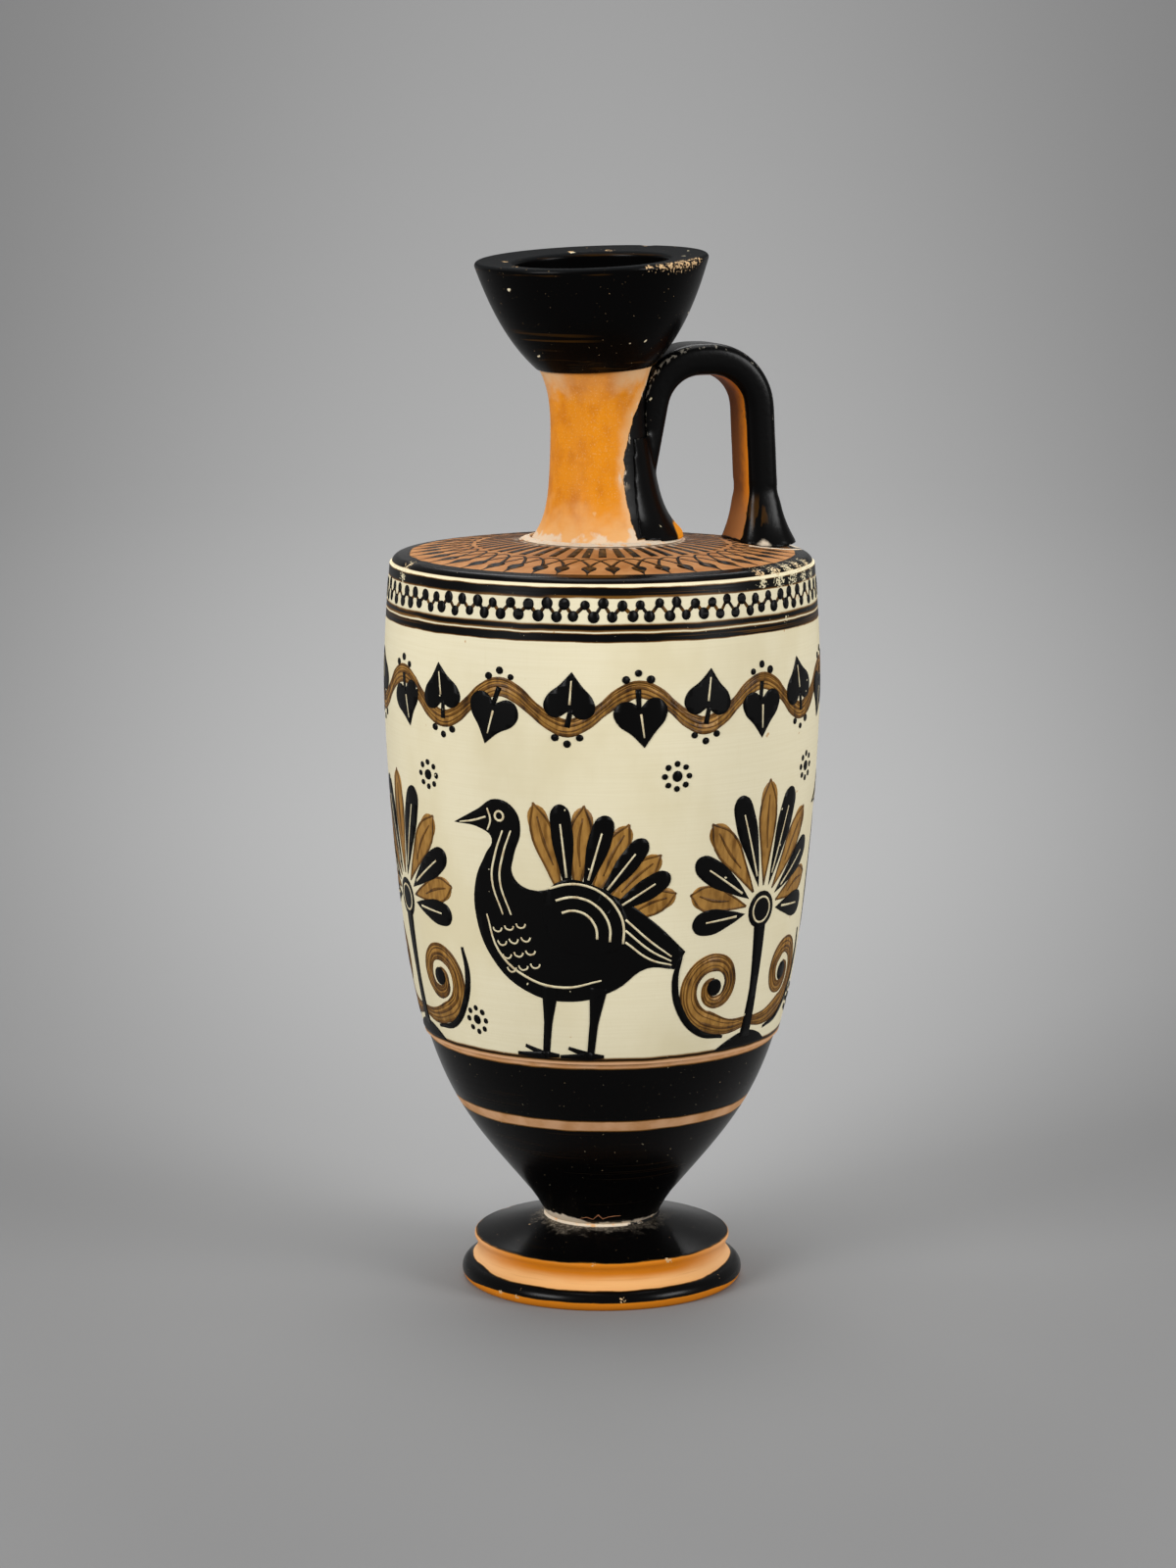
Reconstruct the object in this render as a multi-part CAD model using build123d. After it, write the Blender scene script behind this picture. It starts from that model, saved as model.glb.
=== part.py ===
from build123d import *
import math
import os

# A shoulder lekythos, a narrow-necked oil jar of fired clay, in millimetres.
# It is thrown in sections (foot, body with shoulder, neck, mouth), which are luted together with slip.
# A pulled strap handle is added last, and the wall gets a coat of white slip.
# The origin is the centre of the resting ring of the foot, +Z is up and the handle is on +X.

# Foot: heights from the ground
foot_radius = 23.4
foot_rest_radius = 22.7
foot_rest_inner = 16.8
foot_hollow = 4.6
foot_roll_height = 3.2
foot_roll_top_radius = 22.1
foot_cove_radius = 20.8
foot_cove_height = 5.2
foot_disc_radius = 21.3
foot_disc_underside = 6.9
foot_disc_edge = 0.7
foot_edge_round = 0.45
foot_height = 10.6

# Body: heights from its own base, where its stem stands on the foot
stem_radius = 9.3
stem_top_radius = 11.1
stem_height = 3.2
flank_low_radius = 17.0
flank_low_height = 10.4
flank_radius = 25.0
flank_height = 21.7
knee_radius = 29.5
knee_height = 33.4
wall_radius = 33.6
wall_height = 59.4
belly_radius = 35.5
belly_height = 89.4
shoulder_radius = 34.45
shoulder_height = 109.8
shoulder_round = 1.3
shoulder_rise = 2.5
body_wall = 3.6
shoulder_wall = 4.0
cavity_floor = 5.6
cavity_start_share = 0.09
cavity_point_count = 9
neck_seat_radius = 13.0

# Coat of white slip on the wall, between the knee and the shoulder
coat_thickness = 0.3
coat_low_height = 32.2
coat_point_count = 15

# Neck: heights from the shoulder, along an axis that leans away from the handle
neck_lean = 3.7
neck_lean_turn = 33.0
neck_foot_radius = 11.9
neck_flare_radius = 9.5
neck_flare_height = 3.8
neck_low_radius = 8.3
neck_low_height = 9.8
neck_waist_radius = 7.75
neck_waist_height = 17.4
neck_upper_radius = 8.0
neck_upper_height = 24.6
neck_top_radius = 9.3
neck_height = 28.2
neck_bore_radius = 4.8
neck_trim = 2.0

# Mouth: heights from the top of the neck
mouth_base_radius = 9.7
mouth_low_radius = 12.1
mouth_low_height = 2.7
mouth_mid_radius = 15.2
mouth_mid_height = 7.6
mouth_radius = 18.9
mouth_lip_round = 0.8
mouth_lip_inner = 13.4
mouth_lip_dip = 0.4
mouth_height = 17.6
bowl_radius = 11.0
bowl_height = 7.6
bowl_floor = 2.6

# Handle: a strap in the XZ plane, its root measured from the shoulder and its crown from the top of the neck
strap_width = 9.2
strap_thickness = 5.2
strap_edge_round = 1.5
handle_root_height = 9.0
handle_root_depth = 2.1
handle_spread = 3.9
handle_crown_rise = 0.7
handle_crown_in_round = 8.3
handle_crown_out_round = 8.6
handle_taper = 1.7
handle_inset = 6.9

# Luting: clay and slip worked into the joints
luting_foot_reach = 0.4
luting_foot_rise = 1.9
luting_neck_reach = 1.3
luting_neck_rise = 1.7
smear_thickness = 1.5
smear_rise = 17.0
smear_edge = 2.4
collar_lip = 0.35
collar_rise = 6.0
collar_mid_rise = 3.0
collar_mid_flare = 0.9
collar_flare = 3.0
collar_sink = 4.0

# Heights and places that follow from the sizes above
body_base = foot_height
body_height = shoulder_height + shoulder_round + shoulder_rise
neck_base = body_base + body_height
handle_crown_height = neck_height + handle_crown_rise
handle_reach = shoulder_radius - handle_inset


def at(radius, height):
    """Point of a turned outline, drawn in the XZ plane."""
    return (radius, 0, height)


def turned(*edges):
    """Solid turned from a closed outline about the upright axis."""
    return revolve(make_face(edges), Axis.Z)


def beside(curve, share, depth):
    """Point at a depth inward from a rising outline, square to it, at a share of its length."""
    spot = curve @ share
    along = curve % share
    return at(spot.X - depth * along.Z, spot.Z + depth * along.X)


def shares(count, first, last):
    """Evenly spaced shares of a curve's length."""
    return [first + (last - first) * step / (count - 1) for step in range(count)]


def leaned(part):
    """The neck and the mouth are turned upright, then set leaning on the shoulder."""
    turn = Rot(0, 0, neck_lean_turn) * Rot(0, -neck_lean, 0) * Rot(0, 0, -neck_lean_turn)
    return Pos(0, 0, neck_base) * turn * part


def make_foot():
    """Disc foot: hollow underneath, a roll, a cove and a disc with a shallow conical top."""
    hollow = TangentArc(at(0, foot_hollow), at(foot_rest_inner, 0), tangent=(1, 0, 0))
    rest = Line(at(foot_rest_inner, 0), at(foot_rest_radius, 0))
    roll_top = at(foot_roll_top_radius, foot_roll_height)
    roll = ThreePointArc(rest @ 1, at(foot_radius, foot_roll_height / 2), roll_top)
    disc_low = at(foot_disc_radius, foot_disc_underside)
    cove = ThreePointArc(roll_top, at(foot_cove_radius, foot_cove_height), disc_low)
    disc_top = foot_disc_underside + foot_disc_edge
    edge = Line(disc_low, at(foot_disc_radius, disc_top - foot_edge_round))
    edge_end = at(foot_disc_radius - foot_edge_round, disc_top)
    rounding = TangentArc(edge @ 1, edge_end, tangent=(0, 0, 1))
    slope = Line(edge_end, at(stem_radius, foot_height))
    seat = Line(slope @ 1, at(0, foot_height))
    axis = Line(seat @ 1, hollow @ 0)
    return turned(hollow, rest, roll, cove, edge, rounding, slope, seat, axis)


def body_outline():
    """The wall's outer face, from the stem up to the edge of the shoulder."""
    return Spline(
        at(stem_radius, body_base),
        at(stem_top_radius, body_base + stem_height),
        at(flank_low_radius, body_base + flank_low_height),
        at(flank_radius, body_base + flank_height),
        at(knee_radius, body_base + knee_height),
        at(wall_radius, body_base + wall_height),
        at(belly_radius, body_base + belly_height),
        at(shoulder_radius, body_base + shoulder_height),
    )


def shoulder_edge():
    """Where the rounded edge of the shoulder ends and its slope to the neck begins."""
    return at(shoulder_radius - shoulder_round, body_base + shoulder_height + shoulder_round)


def make_full_body():
    """The body as a solid, with no hollow."""
    wall = body_outline()
    base = Line(at(0, body_base), wall @ 0)
    rounding = TangentArc(wall @ 1, shoulder_edge(), tangent=wall % 1)
    slope = Line(rounding @ 1, at(neck_seat_radius, neck_base))
    seat = Line(slope @ 1, at(0, neck_base))
    axis = Line(seat @ 1, base @ 0)
    return turned(base, wall, rounding, slope, seat, axis)


def make_cavity():
    """The room inside the body: the wall's inner face, under the shoulder, and the way out."""
    wall = body_outline()
    stations = shares(cavity_point_count, cavity_start_share, 1)
    inner = Spline(*[beside(wall, share, body_wall) for share in stations])
    start = inner @ 0
    floor = TangentArc(at(0, body_base + cavity_floor), start, tangent=(1, 0, 0))
    roof = Line(inner @ 1, at(0, (inner @ 1).Z))
    axis = Line(roof @ 1, floor @ 0)
    room = turned(floor, inner, roof, axis)
    edge = shoulder_edge()
    under_edge = Line(at(belly_radius, edge[2] - shoulder_wall), at(edge[0], edge[2] - shoulder_wall))
    under_slope = Line(under_edge @ 1, at(0, neck_base - shoulder_wall))
    up = Line(under_slope @ 1, at(0, neck_base))
    across = Line(up @ 1, at(belly_radius, neck_base))
    down = Line(across @ 1, under_edge @ 0)
    room -= turned(under_edge, under_slope, up, across, down)
    throat = Cylinder(neck_bore_radius, body_height, align=(Align.CENTER, Align.CENTER, Align.MAX))
    upper_half = Pos(0, 0, body_base + belly_height) * Box(
        2 * belly_radius, 2 * belly_radius, body_height, align=(Align.CENTER, Align.CENTER, Align.MIN)
    )
    return room + (Pos(0, 0, neck_base) * throat & upper_half)


def make_coat(full_body):
    """White slip on the wall, from just above the knee to the edge of the shoulder."""
    wall = body_outline()
    stations = shares(coat_point_count, 0, 1)
    skin = Spline(*[beside(wall, share, -coat_thickness) for share in stations])
    low = Line(at(0, body_base), skin @ 0)
    top = Line(skin @ 1, at(0, (skin @ 1).Z))
    axis = Line(top @ 1, low @ 0)
    low_cut = body_base + coat_low_height
    tall = shoulder_height - coat_low_height
    band = Pos(0, 0, low_cut) * Cylinder(
        2 * belly_radius, tall, align=(Align.CENTER, Align.CENTER, Align.MIN)
    )
    return (turned(low, skin, top, axis) & band) - full_body


def make_neck_tube():
    """A waisted tube as a solid, flared at both ends, and running on a little below the shoulder."""
    skirt = Line(at(neck_foot_radius, -neck_trim), at(neck_foot_radius, 0))
    side = Spline(
        skirt @ 1,
        at(neck_flare_radius, neck_flare_height),
        at(neck_low_radius, neck_low_height),
        at(neck_waist_radius, neck_waist_height),
        at(neck_upper_radius, neck_upper_height),
        at(neck_top_radius, neck_height),
    )
    top = Line(side @ 1, at(0, neck_height))
    axis = Line(top @ 1, at(0, -neck_trim))
    base = Line(axis @ 1, skirt @ 0)
    return leaned(turned(skirt, side, top, axis, base))


def make_full_neck():
    """The neck as a solid, trimmed level where it stands on the shoulder."""
    level = Pos(0, 0, neck_base) * Cylinder(
        2 * belly_radius, 2 * neck_height, align=(Align.CENTER, Align.CENTER, Align.MIN)
    )
    return make_neck_tube() & level


def make_neck_bore():
    """The bore, from below the shoulder to the bowl of the mouth."""
    return leaned(Pos(0, 0, -neck_trim) * Cylinder(
        neck_bore_radius,
        neck_trim + neck_height + bowl_floor,
        align=(Align.CENTER, Align.CENTER, Align.MIN),
    ))


def make_full_mouth():
    """The cup as a solid: flaring sides and a thick lip that dips inward."""
    side = Spline(
        at(mouth_base_radius, neck_height),
        at(mouth_low_radius, neck_height + mouth_low_height),
        at(mouth_mid_radius, neck_height + mouth_mid_height),
        at(mouth_radius, neck_height + mouth_height - mouth_lip_round),
    )
    rim = neck_height + mouth_height
    lip_edge = TangentArc(side @ 1, at(mouth_radius - mouth_lip_round, rim), tangent=side % 1)
    top = Line(lip_edge @ 1, at(0, rim))
    axis = Line(top @ 1, at(0, neck_height))
    base = Line(axis @ 1, side @ 0)
    return leaned(turned(side, lip_edge, top, axis, base))


def make_bowl():
    """The room inside the cup, cut down through the lip, which dips toward it."""
    rim = neck_height + mouth_height
    lip_start = at(mouth_radius - mouth_lip_round, rim)
    dip = Line(lip_start, at(mouth_lip_inner, rim - mouth_lip_dip))
    inner_edge = at(mouth_lip_inner - mouth_lip_round, rim - mouth_lip_dip - mouth_lip_round)
    rounding = TangentArc(dip @ 1, inner_edge, tangent=dip % 1)
    bowl = ThreePointArc(
        inner_edge,
        at(bowl_radius, neck_height + bowl_height),
        at(neck_bore_radius, neck_height + bowl_floor),
    )
    floor = Line(bowl @ 1, at(0, neck_height + bowl_floor))
    axis = Line(floor @ 1, at(0, rim))
    top = Line(axis @ 1, lip_start)
    return leaned(turned(dip, rounding, bowl, floor, axis, top))


def neck_side_x(height):
    """Where the neck's surface crosses the plane of the handle, at a height above the shoulder."""
    drift = math.tan(math.radians(neck_lean)) * math.cos(math.radians(neck_lean_turn))
    return neck_waist_radius - drift * height


def strap_path():
    """Middle line of the strap: up along the neck, over the crown and down to the shoulder."""
    root_x = neck_side_x(handle_root_height) - handle_root_depth
    return FilletPolyline(
        at(root_x, neck_base + handle_root_height),
        at(root_x + handle_spread, neck_base + handle_crown_height),
        at(handle_reach - handle_taper, neck_base + handle_crown_height),
        at(handle_reach, neck_base - collar_sink),
        radius=(handle_crown_in_round, handle_crown_out_round),
    )


def strap_section(origin, along, flare=0.0):
    """Rounded strap section, square to a direction in the handle's plane, flared all round."""
    plane = Plane(origin=origin, x_dir=(0, 1, 0), z_dir=along)
    return plane * RectangleRounded(
        strap_width + 2 * flare,
        strap_thickness + 2 * flare,
        strap_edge_round + flare,
    )


def make_full_handle():
    """The strap along its whole path, before its ends are fitted."""
    path = strap_path()
    return sweep(strap_section(path @ 0, path % 0), path)


def make_smear(full_handle, *neighbours):
    """Clay of the upper root, worked down the side of the neck and thinned toward its top and its edges."""
    tilt = math.degrees(math.atan2(smear_thickness, neck_height))
    top = Pos(0, 0, neck_base + neck_height)
    handle_side = Pos(smear_edge, 0, neck_base + smear_rise) * Box(
        2 * belly_radius, 2 * belly_radius, smear_rise, align=(Align.MIN, Align.CENTER, Align.MAX)
    )
    smear = (top * Rot(0, -tilt, 0) * top.inverse() * make_neck_tube()) & handle_side
    smear -= full_handle
    for neighbour in neighbours:
        smear -= neighbour
    return smear


def make_collar(full_body, full_handle):
    """Clay collar that flares from the lower end of the strap onto the shoulder."""
    path = strap_path()
    leg = (path @ 1) - (path % 1) * collar_sink
    stations = [
        (collar_rise, collar_lip),
        (collar_mid_rise, collar_mid_flare),
        (-collar_sink / 2, collar_flare),
    ]
    sections = []
    for rise, flare in stations:
        spot = leg - (path % 1) * rise
        sections.append(strap_section(spot, path % 1, flare))
    return loft(sections) - full_body - full_handle


def make_luting(reach, rise, radius, height, *neighbours):
    """Ring of slip in a joint, hollow-faced, shaped by the pieces that it joins."""
    top = at(radius - 2 * reach, height + rise)
    face = TangentArc(top, at(radius + reach, height), tangent=(reach, 0, -rise / 2))
    under = Line(face @ 1, at(radius + reach, height - rise))
    back = Line(under @ 1, at(radius - 2 * reach, height - rise))
    inner = Line(back @ 1, top)
    ring = turned(face, under, back, inner)
    for neighbour in neighbours:
        ring -= neighbour
    return ring


full_body = make_full_body()
full_neck = make_full_neck()
full_mouth = make_full_mouth()
full_handle = make_full_handle()
foot = make_foot()
bore = make_neck_bore()
handle = full_handle - full_body - full_neck - full_mouth
neck_tube = make_neck_tube()
neck_luting = make_luting(
    luting_neck_reach, luting_neck_rise, neck_foot_radius, neck_base, neck_tube, full_body
)

nodes = {
    "foot": foot,
    "foot_luting": make_luting(
        luting_foot_reach, luting_foot_rise, stem_radius, foot_height, foot, full_body
    ),
    "body": full_body - make_cavity() - bore,
    "white_ground": make_coat(full_body),
    "neck": full_neck - bore,
    "neck_luting": neck_luting,
    "mouth": full_mouth - make_bowl() - bore,
    "handle": handle,
    "handle_upper_luting": make_smear(full_handle, neck_tube, full_body, neck_luting),
    "handle_lower_luting": make_collar(full_body, full_handle),
}

os.makedirs("parts", exist_ok=True)
for name, solid in nodes.items():
    export_step(solid, f"parts/{name}.step")
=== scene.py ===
# %% [markdown]
# # A painted oil jar
# The jar is thrown in sections, coated with slip, painted and fired. Its solids come from the frame,
# and this lesson dresses them: it turns each section again as a clean mesh, models the worn edges,
# gives every surface its finish, and lays the painting on the wall as thin layers, in the order a
# painter would work.

# %% Load the frame
import math
import random
import bpy
from mathutils import Matrix, Vector


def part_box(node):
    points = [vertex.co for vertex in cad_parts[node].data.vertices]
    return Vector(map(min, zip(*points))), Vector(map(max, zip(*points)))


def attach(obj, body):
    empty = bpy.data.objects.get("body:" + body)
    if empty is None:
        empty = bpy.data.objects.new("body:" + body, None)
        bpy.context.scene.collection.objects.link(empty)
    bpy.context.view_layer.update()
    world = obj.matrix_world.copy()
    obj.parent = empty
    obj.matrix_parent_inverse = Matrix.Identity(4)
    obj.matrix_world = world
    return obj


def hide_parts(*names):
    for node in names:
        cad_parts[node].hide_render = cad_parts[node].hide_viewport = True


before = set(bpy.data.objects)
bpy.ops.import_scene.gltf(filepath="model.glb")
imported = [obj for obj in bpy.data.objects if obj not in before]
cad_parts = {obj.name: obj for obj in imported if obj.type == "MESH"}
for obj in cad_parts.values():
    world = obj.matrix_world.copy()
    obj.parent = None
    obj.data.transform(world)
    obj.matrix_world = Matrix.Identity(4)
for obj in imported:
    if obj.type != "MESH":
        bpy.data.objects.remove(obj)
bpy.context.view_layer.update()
mm = 0.001
print("solids:", sorted(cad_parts))

# %% [markdown]
# ## How the jar stands
# The body stands upright on the frame's Z axis. The neck and the cup were set on it a little askew, so
# they share an axis of their own. Each of these pieces is easier to turn upright and to lean
# afterwards, so the lean is kept here as one matrix.

# %% The axis of the neck
neck_lean = math.radians(3.7)
neck_lean_turn = math.radians(33.0)
shoulder_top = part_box("neck")[0].z
turn_to_lean = Matrix.Rotation(neck_lean_turn, 4, "Z")
upright = Matrix.Identity(4)
leaning = (
    Matrix.Translation((0, 0, shoulder_top))
    @ turn_to_lean
    @ Matrix.Rotation(-neck_lean, 4, "Y")
    @ turn_to_lean.inverted()
)
print("the neck stands on the shoulder at", round(shoulder_top / mm, 1), "mm")

# %% [markdown]
# ## Turning a section
# A potter's profile is what a lathe or a wheel repeats all round. The profile could be typed in as
# points, but the solid already has it: a copy of the solid is cut by a plane through its axis, half of
# the cut is kept, and that line is spun.

# %% Pick and edit
def pick(*pieces):
    """Select these pieces alone. The first becomes the active one."""
    if bpy.context.mode != "OBJECT":
        bpy.ops.object.mode_set(mode="OBJECT")
    bpy.ops.object.select_all(action="DESELECT")
    for piece in pieces:
        piece.select_set(True)
    bpy.context.view_layer.objects.active = pieces[0]


def edit(piece):
    """Open a piece in edit mode with all of it selected."""
    pick(piece)
    bpy.ops.object.mode_set(mode="EDIT")
    bpy.ops.mesh.select_mode(type="VERT")
    bpy.ops.mesh.select_all(action="SELECT")


def select_points(piece, wanted):
    """Select, in edit mode, the points of a piece that a test wants."""
    bpy.ops.mesh.select_all(action="DESELECT")
    bpy.ops.object.mode_set(mode="OBJECT")
    for point in piece.data.vertices:
        point.select = wanted(point)
    bpy.ops.object.mode_set(mode="EDIT")


print("mode at the start:", bpy.context.mode)

# %% Copy a solid and cut its profile
merge_near = 0.002 * mm
cut_near = 0.001 * mm
merge_on_line = 0.01 * mm


def copy_of(node, name):
    """A merged copy of a solid, as a new object."""
    piece = bpy.data.objects.new(name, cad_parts[node].data.copy())
    bpy.context.collection.objects.link(piece)
    piece.data.materials.clear()
    edit(piece)
    bpy.ops.mesh.remove_doubles(threshold=merge_near)
    bpy.ops.object.mode_set(mode="OBJECT")
    return piece


def cut_profile(name, node, stand):
    """Half of the cut through a solid, as a line of edges in the XZ plane."""
    profile = copy_of(node, name)
    profile.data.transform(stand.inverted())
    edit(profile)
    bpy.ops.mesh.bisect(
        plane_co=(0, 0, 0), plane_no=(0, 1, 0), clear_inner=True, clear_outer=True, threshold=cut_near
    )
    bpy.ops.mesh.select_all(action="SELECT")
    bpy.ops.mesh.bisect(plane_co=(0, 0, 0), plane_no=(1, 0, 0), clear_inner=True, threshold=cut_near)
    bpy.ops.mesh.select_all(action="SELECT")
    bpy.ops.mesh.remove_doubles(threshold=merge_on_line)
    bpy.ops.object.mode_set(mode="OBJECT")
    return profile


print("points closer than", round(merge_on_line / mm, 3), "mm merge on a profile")

# %% [markdown]
# ## Even rows
# A solid's mesh has long edges where its profile is straight and short ones where it bends. The long
# ones are divided, so that the spun mesh has even rows. A remesh would even them too, but it would
# round the corners. New points lie on the straight facets, so they and the soft bends are smoothed,
# while true corners stay where they are.

# %% Divide and smooth a profile
corner_angle = math.radians(14)
easing_passes = 24
rub_share = 0.5


def edge_length(profile, edge):
    """Length of one edge of a profile."""
    first, second = edge.vertices
    return (profile.data.vertices[first].co - profile.data.vertices[second].co).length


def sharp_points(profile, row):
    """The points of a profile that stay: ends of short edges, free ends and true corners."""
    sharp = set()
    edges_at = {}
    for edge in profile.data.edges:
        if edge_length(profile, edge) < row:
            sharp.update(edge.vertices)
        for point in edge.vertices:
            edges_at.setdefault(point, []).append(edge)
    for point, edges in edges_at.items():
        here = profile.data.vertices[point].co
        others = [end for edge in edges for end in edge.vertices if end != point]
        ways = [profile.data.vertices[other].co - here for other in others]
        if len(ways) != 2 or ways[0].angle(-ways[1]) > corner_angle:
            sharp.add(point)
    return sharp


def even_rows(profile, row):
    """Divide each edge longer than a row, and smooth what isn't a corner."""
    sharp = sharp_points(profile, row)
    old_count = len(profile.data.vertices)
    edit(profile)
    bpy.ops.mesh.select_mode(type="EDGE")
    while True:
        bpy.ops.mesh.select_all(action="DESELECT")
        bpy.ops.object.mode_set(mode="OBJECT")
        long_edges = [edge for edge in profile.data.edges if edge_length(profile, edge) > row]
        for edge in long_edges:
            edge.select = True
        bpy.ops.object.mode_set(mode="EDIT")
        if not long_edges:
            break
        bpy.ops.mesh.subdivide(number_cuts=1)
    bpy.ops.mesh.select_mode(type="VERT")
    select_points(profile, lambda point: point.index >= old_count or point.index not in sharp)
    bpy.ops.mesh.vertices_smooth(factor=rub_share, repeat=easing_passes)
    bpy.ops.object.mode_set(mode="OBJECT")


print("bends over", round(math.degrees(corner_angle)), "degrees stay sharp")

# %% [markdown]
# ## The wheel
# With an even profile, the Screw modifier does what the wheel does. The Spin tool would do the same in
# edit mode, but it is slower on so many rows. The piece is merged where the turn closes, its normals
# are set outward, and it is leaned into place if its solid leans.

# %% Spin the sections
smooth_angle = math.radians(32)
merge_turn = 0.005 * mm


def use_modifier(piece, kind, **settings):
    """Add a modifier with these settings and apply it."""
    pick(piece)
    modifier = piece.modifiers.new(kind.lower(), kind)
    for setting, value in settings.items():
        setattr(modifier, setting, value)
    bpy.ops.object.modifier_apply(modifier=modifier.name)


def throw(name, node, stand, row, steps):
    """A piece turned from the profile of one solid, and set where that solid is."""
    piece = cut_profile(name, node, stand)
    even_rows(piece, row)
    use_modifier(piece, "SCREW", axis="Z", angle=math.tau, steps=steps, render_steps=steps)
    edit(piece)
    bpy.ops.mesh.remove_doubles(threshold=merge_turn)
    bpy.ops.mesh.normals_make_consistent(inside=False)
    bpy.ops.object.mode_set(mode="OBJECT")
    piece.data.transform(stand)
    bpy.ops.object.shade_smooth_by_angle(angle=smooth_angle)
    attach(piece, "root")
    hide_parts(node)
    print(name, len(piece.data.polygons), "faces")
    return piece


jar_body = throw("jar_body", "body", upright, row=1.8 * mm, steps=224)
white_coat = throw("white_coat", "white_ground", upright, row=1.5 * mm, steps=256)
foot_disc = throw("foot_disc", "foot", upright, row=0.6 * mm, steps=224)
foot_slip = throw("foot_slip_ring", "foot_luting", upright, row=0.25 * mm, steps=224)
neck_tube = throw("neck_tube", "neck", leaning, row=0.6 * mm, steps=160)
neck_slip = throw("neck_slip_ring", "neck_luting", upright, row=0.25 * mm, steps=224)
cup_mouth = throw("cup_mouth", "mouth", leaning, row=0.5 * mm, steps=256)

# %% [markdown]
# ## The handle
# The handle is a strap of clay, pressed on wet, with its ends smeared into the neck and the shoulder.
# Its three solids meet at hard lines that wet clay wouldn't have. They could be joined by a bridge of
# faces, but the ends are saddle-shaped, so a voxel remesh fuses copies of them and a smooth pass rubs
# the joins over, as a thumb would.

# %% Fuse the strap with its smeared ends
strap_voxel = 0.32 * mm
strap_nodes = ("handle", "handle_upper_luting", "handle_lower_luting")
strap_parts = [copy_of(node, "strap_" + node) for node in strap_nodes]
pick(*strap_parts)
bpy.ops.object.join()
strap = bpy.context.object
strap.name = "strap_handle"
use_modifier(strap, "REMESH", mode="VOXEL", voxel_size=strap_voxel)
print("strap_handle", len(strap.data.polygons), "faces")

# %% Rub the joins
strap_rub = 10
collar_rub = 14
collar_start = 18 * mm
collar_top = 10 * mm
shoulder_slope = 0.124
slope_start = 13 * mm
free_of_shoulder = 0.4 * mm


def above_shoulder(point):
    """How far a point is above the slope of the shoulder."""
    return point.co.z - shoulder_top + shoulder_slope * (point.co.xy.length - slope_start)


def on_collar(point):
    """Whether a point is on the flare at the lower end of the strap."""
    return point.co.x > collar_start and free_of_shoulder < above_shoulder(point) < collar_top


edit(strap)
select_points(strap, lambda point: above_shoulder(point) > free_of_shoulder)
bpy.ops.mesh.vertices_smooth(factor=rub_share, repeat=strap_rub)
select_points(strap, on_collar)
bpy.ops.mesh.vertices_smooth(factor=rub_share, repeat=collar_rub)
bpy.ops.object.mode_set(mode="OBJECT")
bpy.ops.object.shade_smooth()
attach(strap, "root")
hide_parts(*strap_nodes)
print("points on the flare:", sum(on_collar(point) for point in strap.data.vertices))

# %% [markdown]
# ## Finishes from nodes
# Every finish here is a few patterns mixed by masks. Node trees for that grow long, so a node's output
# is wrapped as a value that can be added and multiplied, and a mask then reads like a formula. The
# other helpers make the patterns that clay and slip show, at their real size in the frame.

# %% Values on a surface
class Value:
    """A number, colour or place that differs from point to point: one output of a node."""

    def __init__(self, tree, socket):
        self.tree = tree
        self.socket = socket

    def other(self, output):
        """Another output of the same node."""
        return Value(self.tree, self.socket.node.outputs[output])

    def __add__(self, second):
        return reckon("ADD", self, second)

    def __sub__(self, second):
        return reckon("SUBTRACT", self, second)

    def __rsub__(self, first):
        return reckon("SUBTRACT", first, self)

    def __mul__(self, second):
        return reckon("MULTIPLY", self, second)

    def __truediv__(self, second):
        return reckon("DIVIDE", self, second)

    def __abs__(self):
        return reckon("ABSOLUTE", self)


# %% Wire values to nodes
def wire(source, socket):
    """Link a value to an input, or set the input to a plain number or colour."""
    if isinstance(source, Value):
        source.tree.links.new(source.socket, socket)
    else:
        socket.default_value = source


def add(tree, kind, output=0, inputs=None, **settings):
    """Add a node, set its options, wire its inputs by name or number, and give back one output."""
    node = tree.nodes.new("ShaderNode" + kind)
    for setting, value in settings.items():
        setattr(node, setting, value)
    for socket, source in (inputs or {}).items():
        wire(source, node.inputs[socket])
    return Value(tree, node.outputs[output])


def reckon(operation, first, second=0.0):
    """One step of arithmetic on values and plain numbers."""
    tree = first.tree if isinstance(first, Value) else second.tree
    return add(tree, "Math", inputs={0: first, 1: second}, operation=operation)


def most(first, second):
    """The larger of two values."""
    return reckon("MAXIMUM", first, second)


# %% Start and end of a finish
def start_finish(name, roughness, shine):
    """A new material, its shader, and the object's own coordinates as a value."""
    material = bpy.data.materials.new(name)
    material.use_nodes = True
    shader = material.node_tree.nodes["Principled BSDF"]
    shader.inputs["Roughness"].default_value = roughness
    shader.inputs["Specular IOR Level"].default_value = shine
    print("finish:", name)
    return material, shader, add(material.node_tree, "TexCoord", "Object")


def dress(shader, colour, roughness=None, relief=None, depth=0.0):
    """Give a shader its colour, its roughness, and a fine relief with a depth in metres."""
    wire(colour, shader.inputs["Base Color"])
    if roughness:
        wire(roughness, shader.inputs["Roughness"])
    if relief:
        bump = add(relief.tree, "Bump", inputs={"Height": relief, "Distance": depth, "Strength": 1.0})
        wire(bump, shader.inputs["Normal"])


# %% Masks and patterns
def level(value, low, high, start=0.0, end=1.0, kind="SMOOTHSTEP"):
    """A value taken from start to end as it goes from low to high, smoothly unless told otherwise."""
    inputs = {"Value": value, 1: low, 2: high, 3: start, 4: end}
    return add(value.tree, "MapRange", inputs=inputs, interpolation_type=kind)


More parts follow.
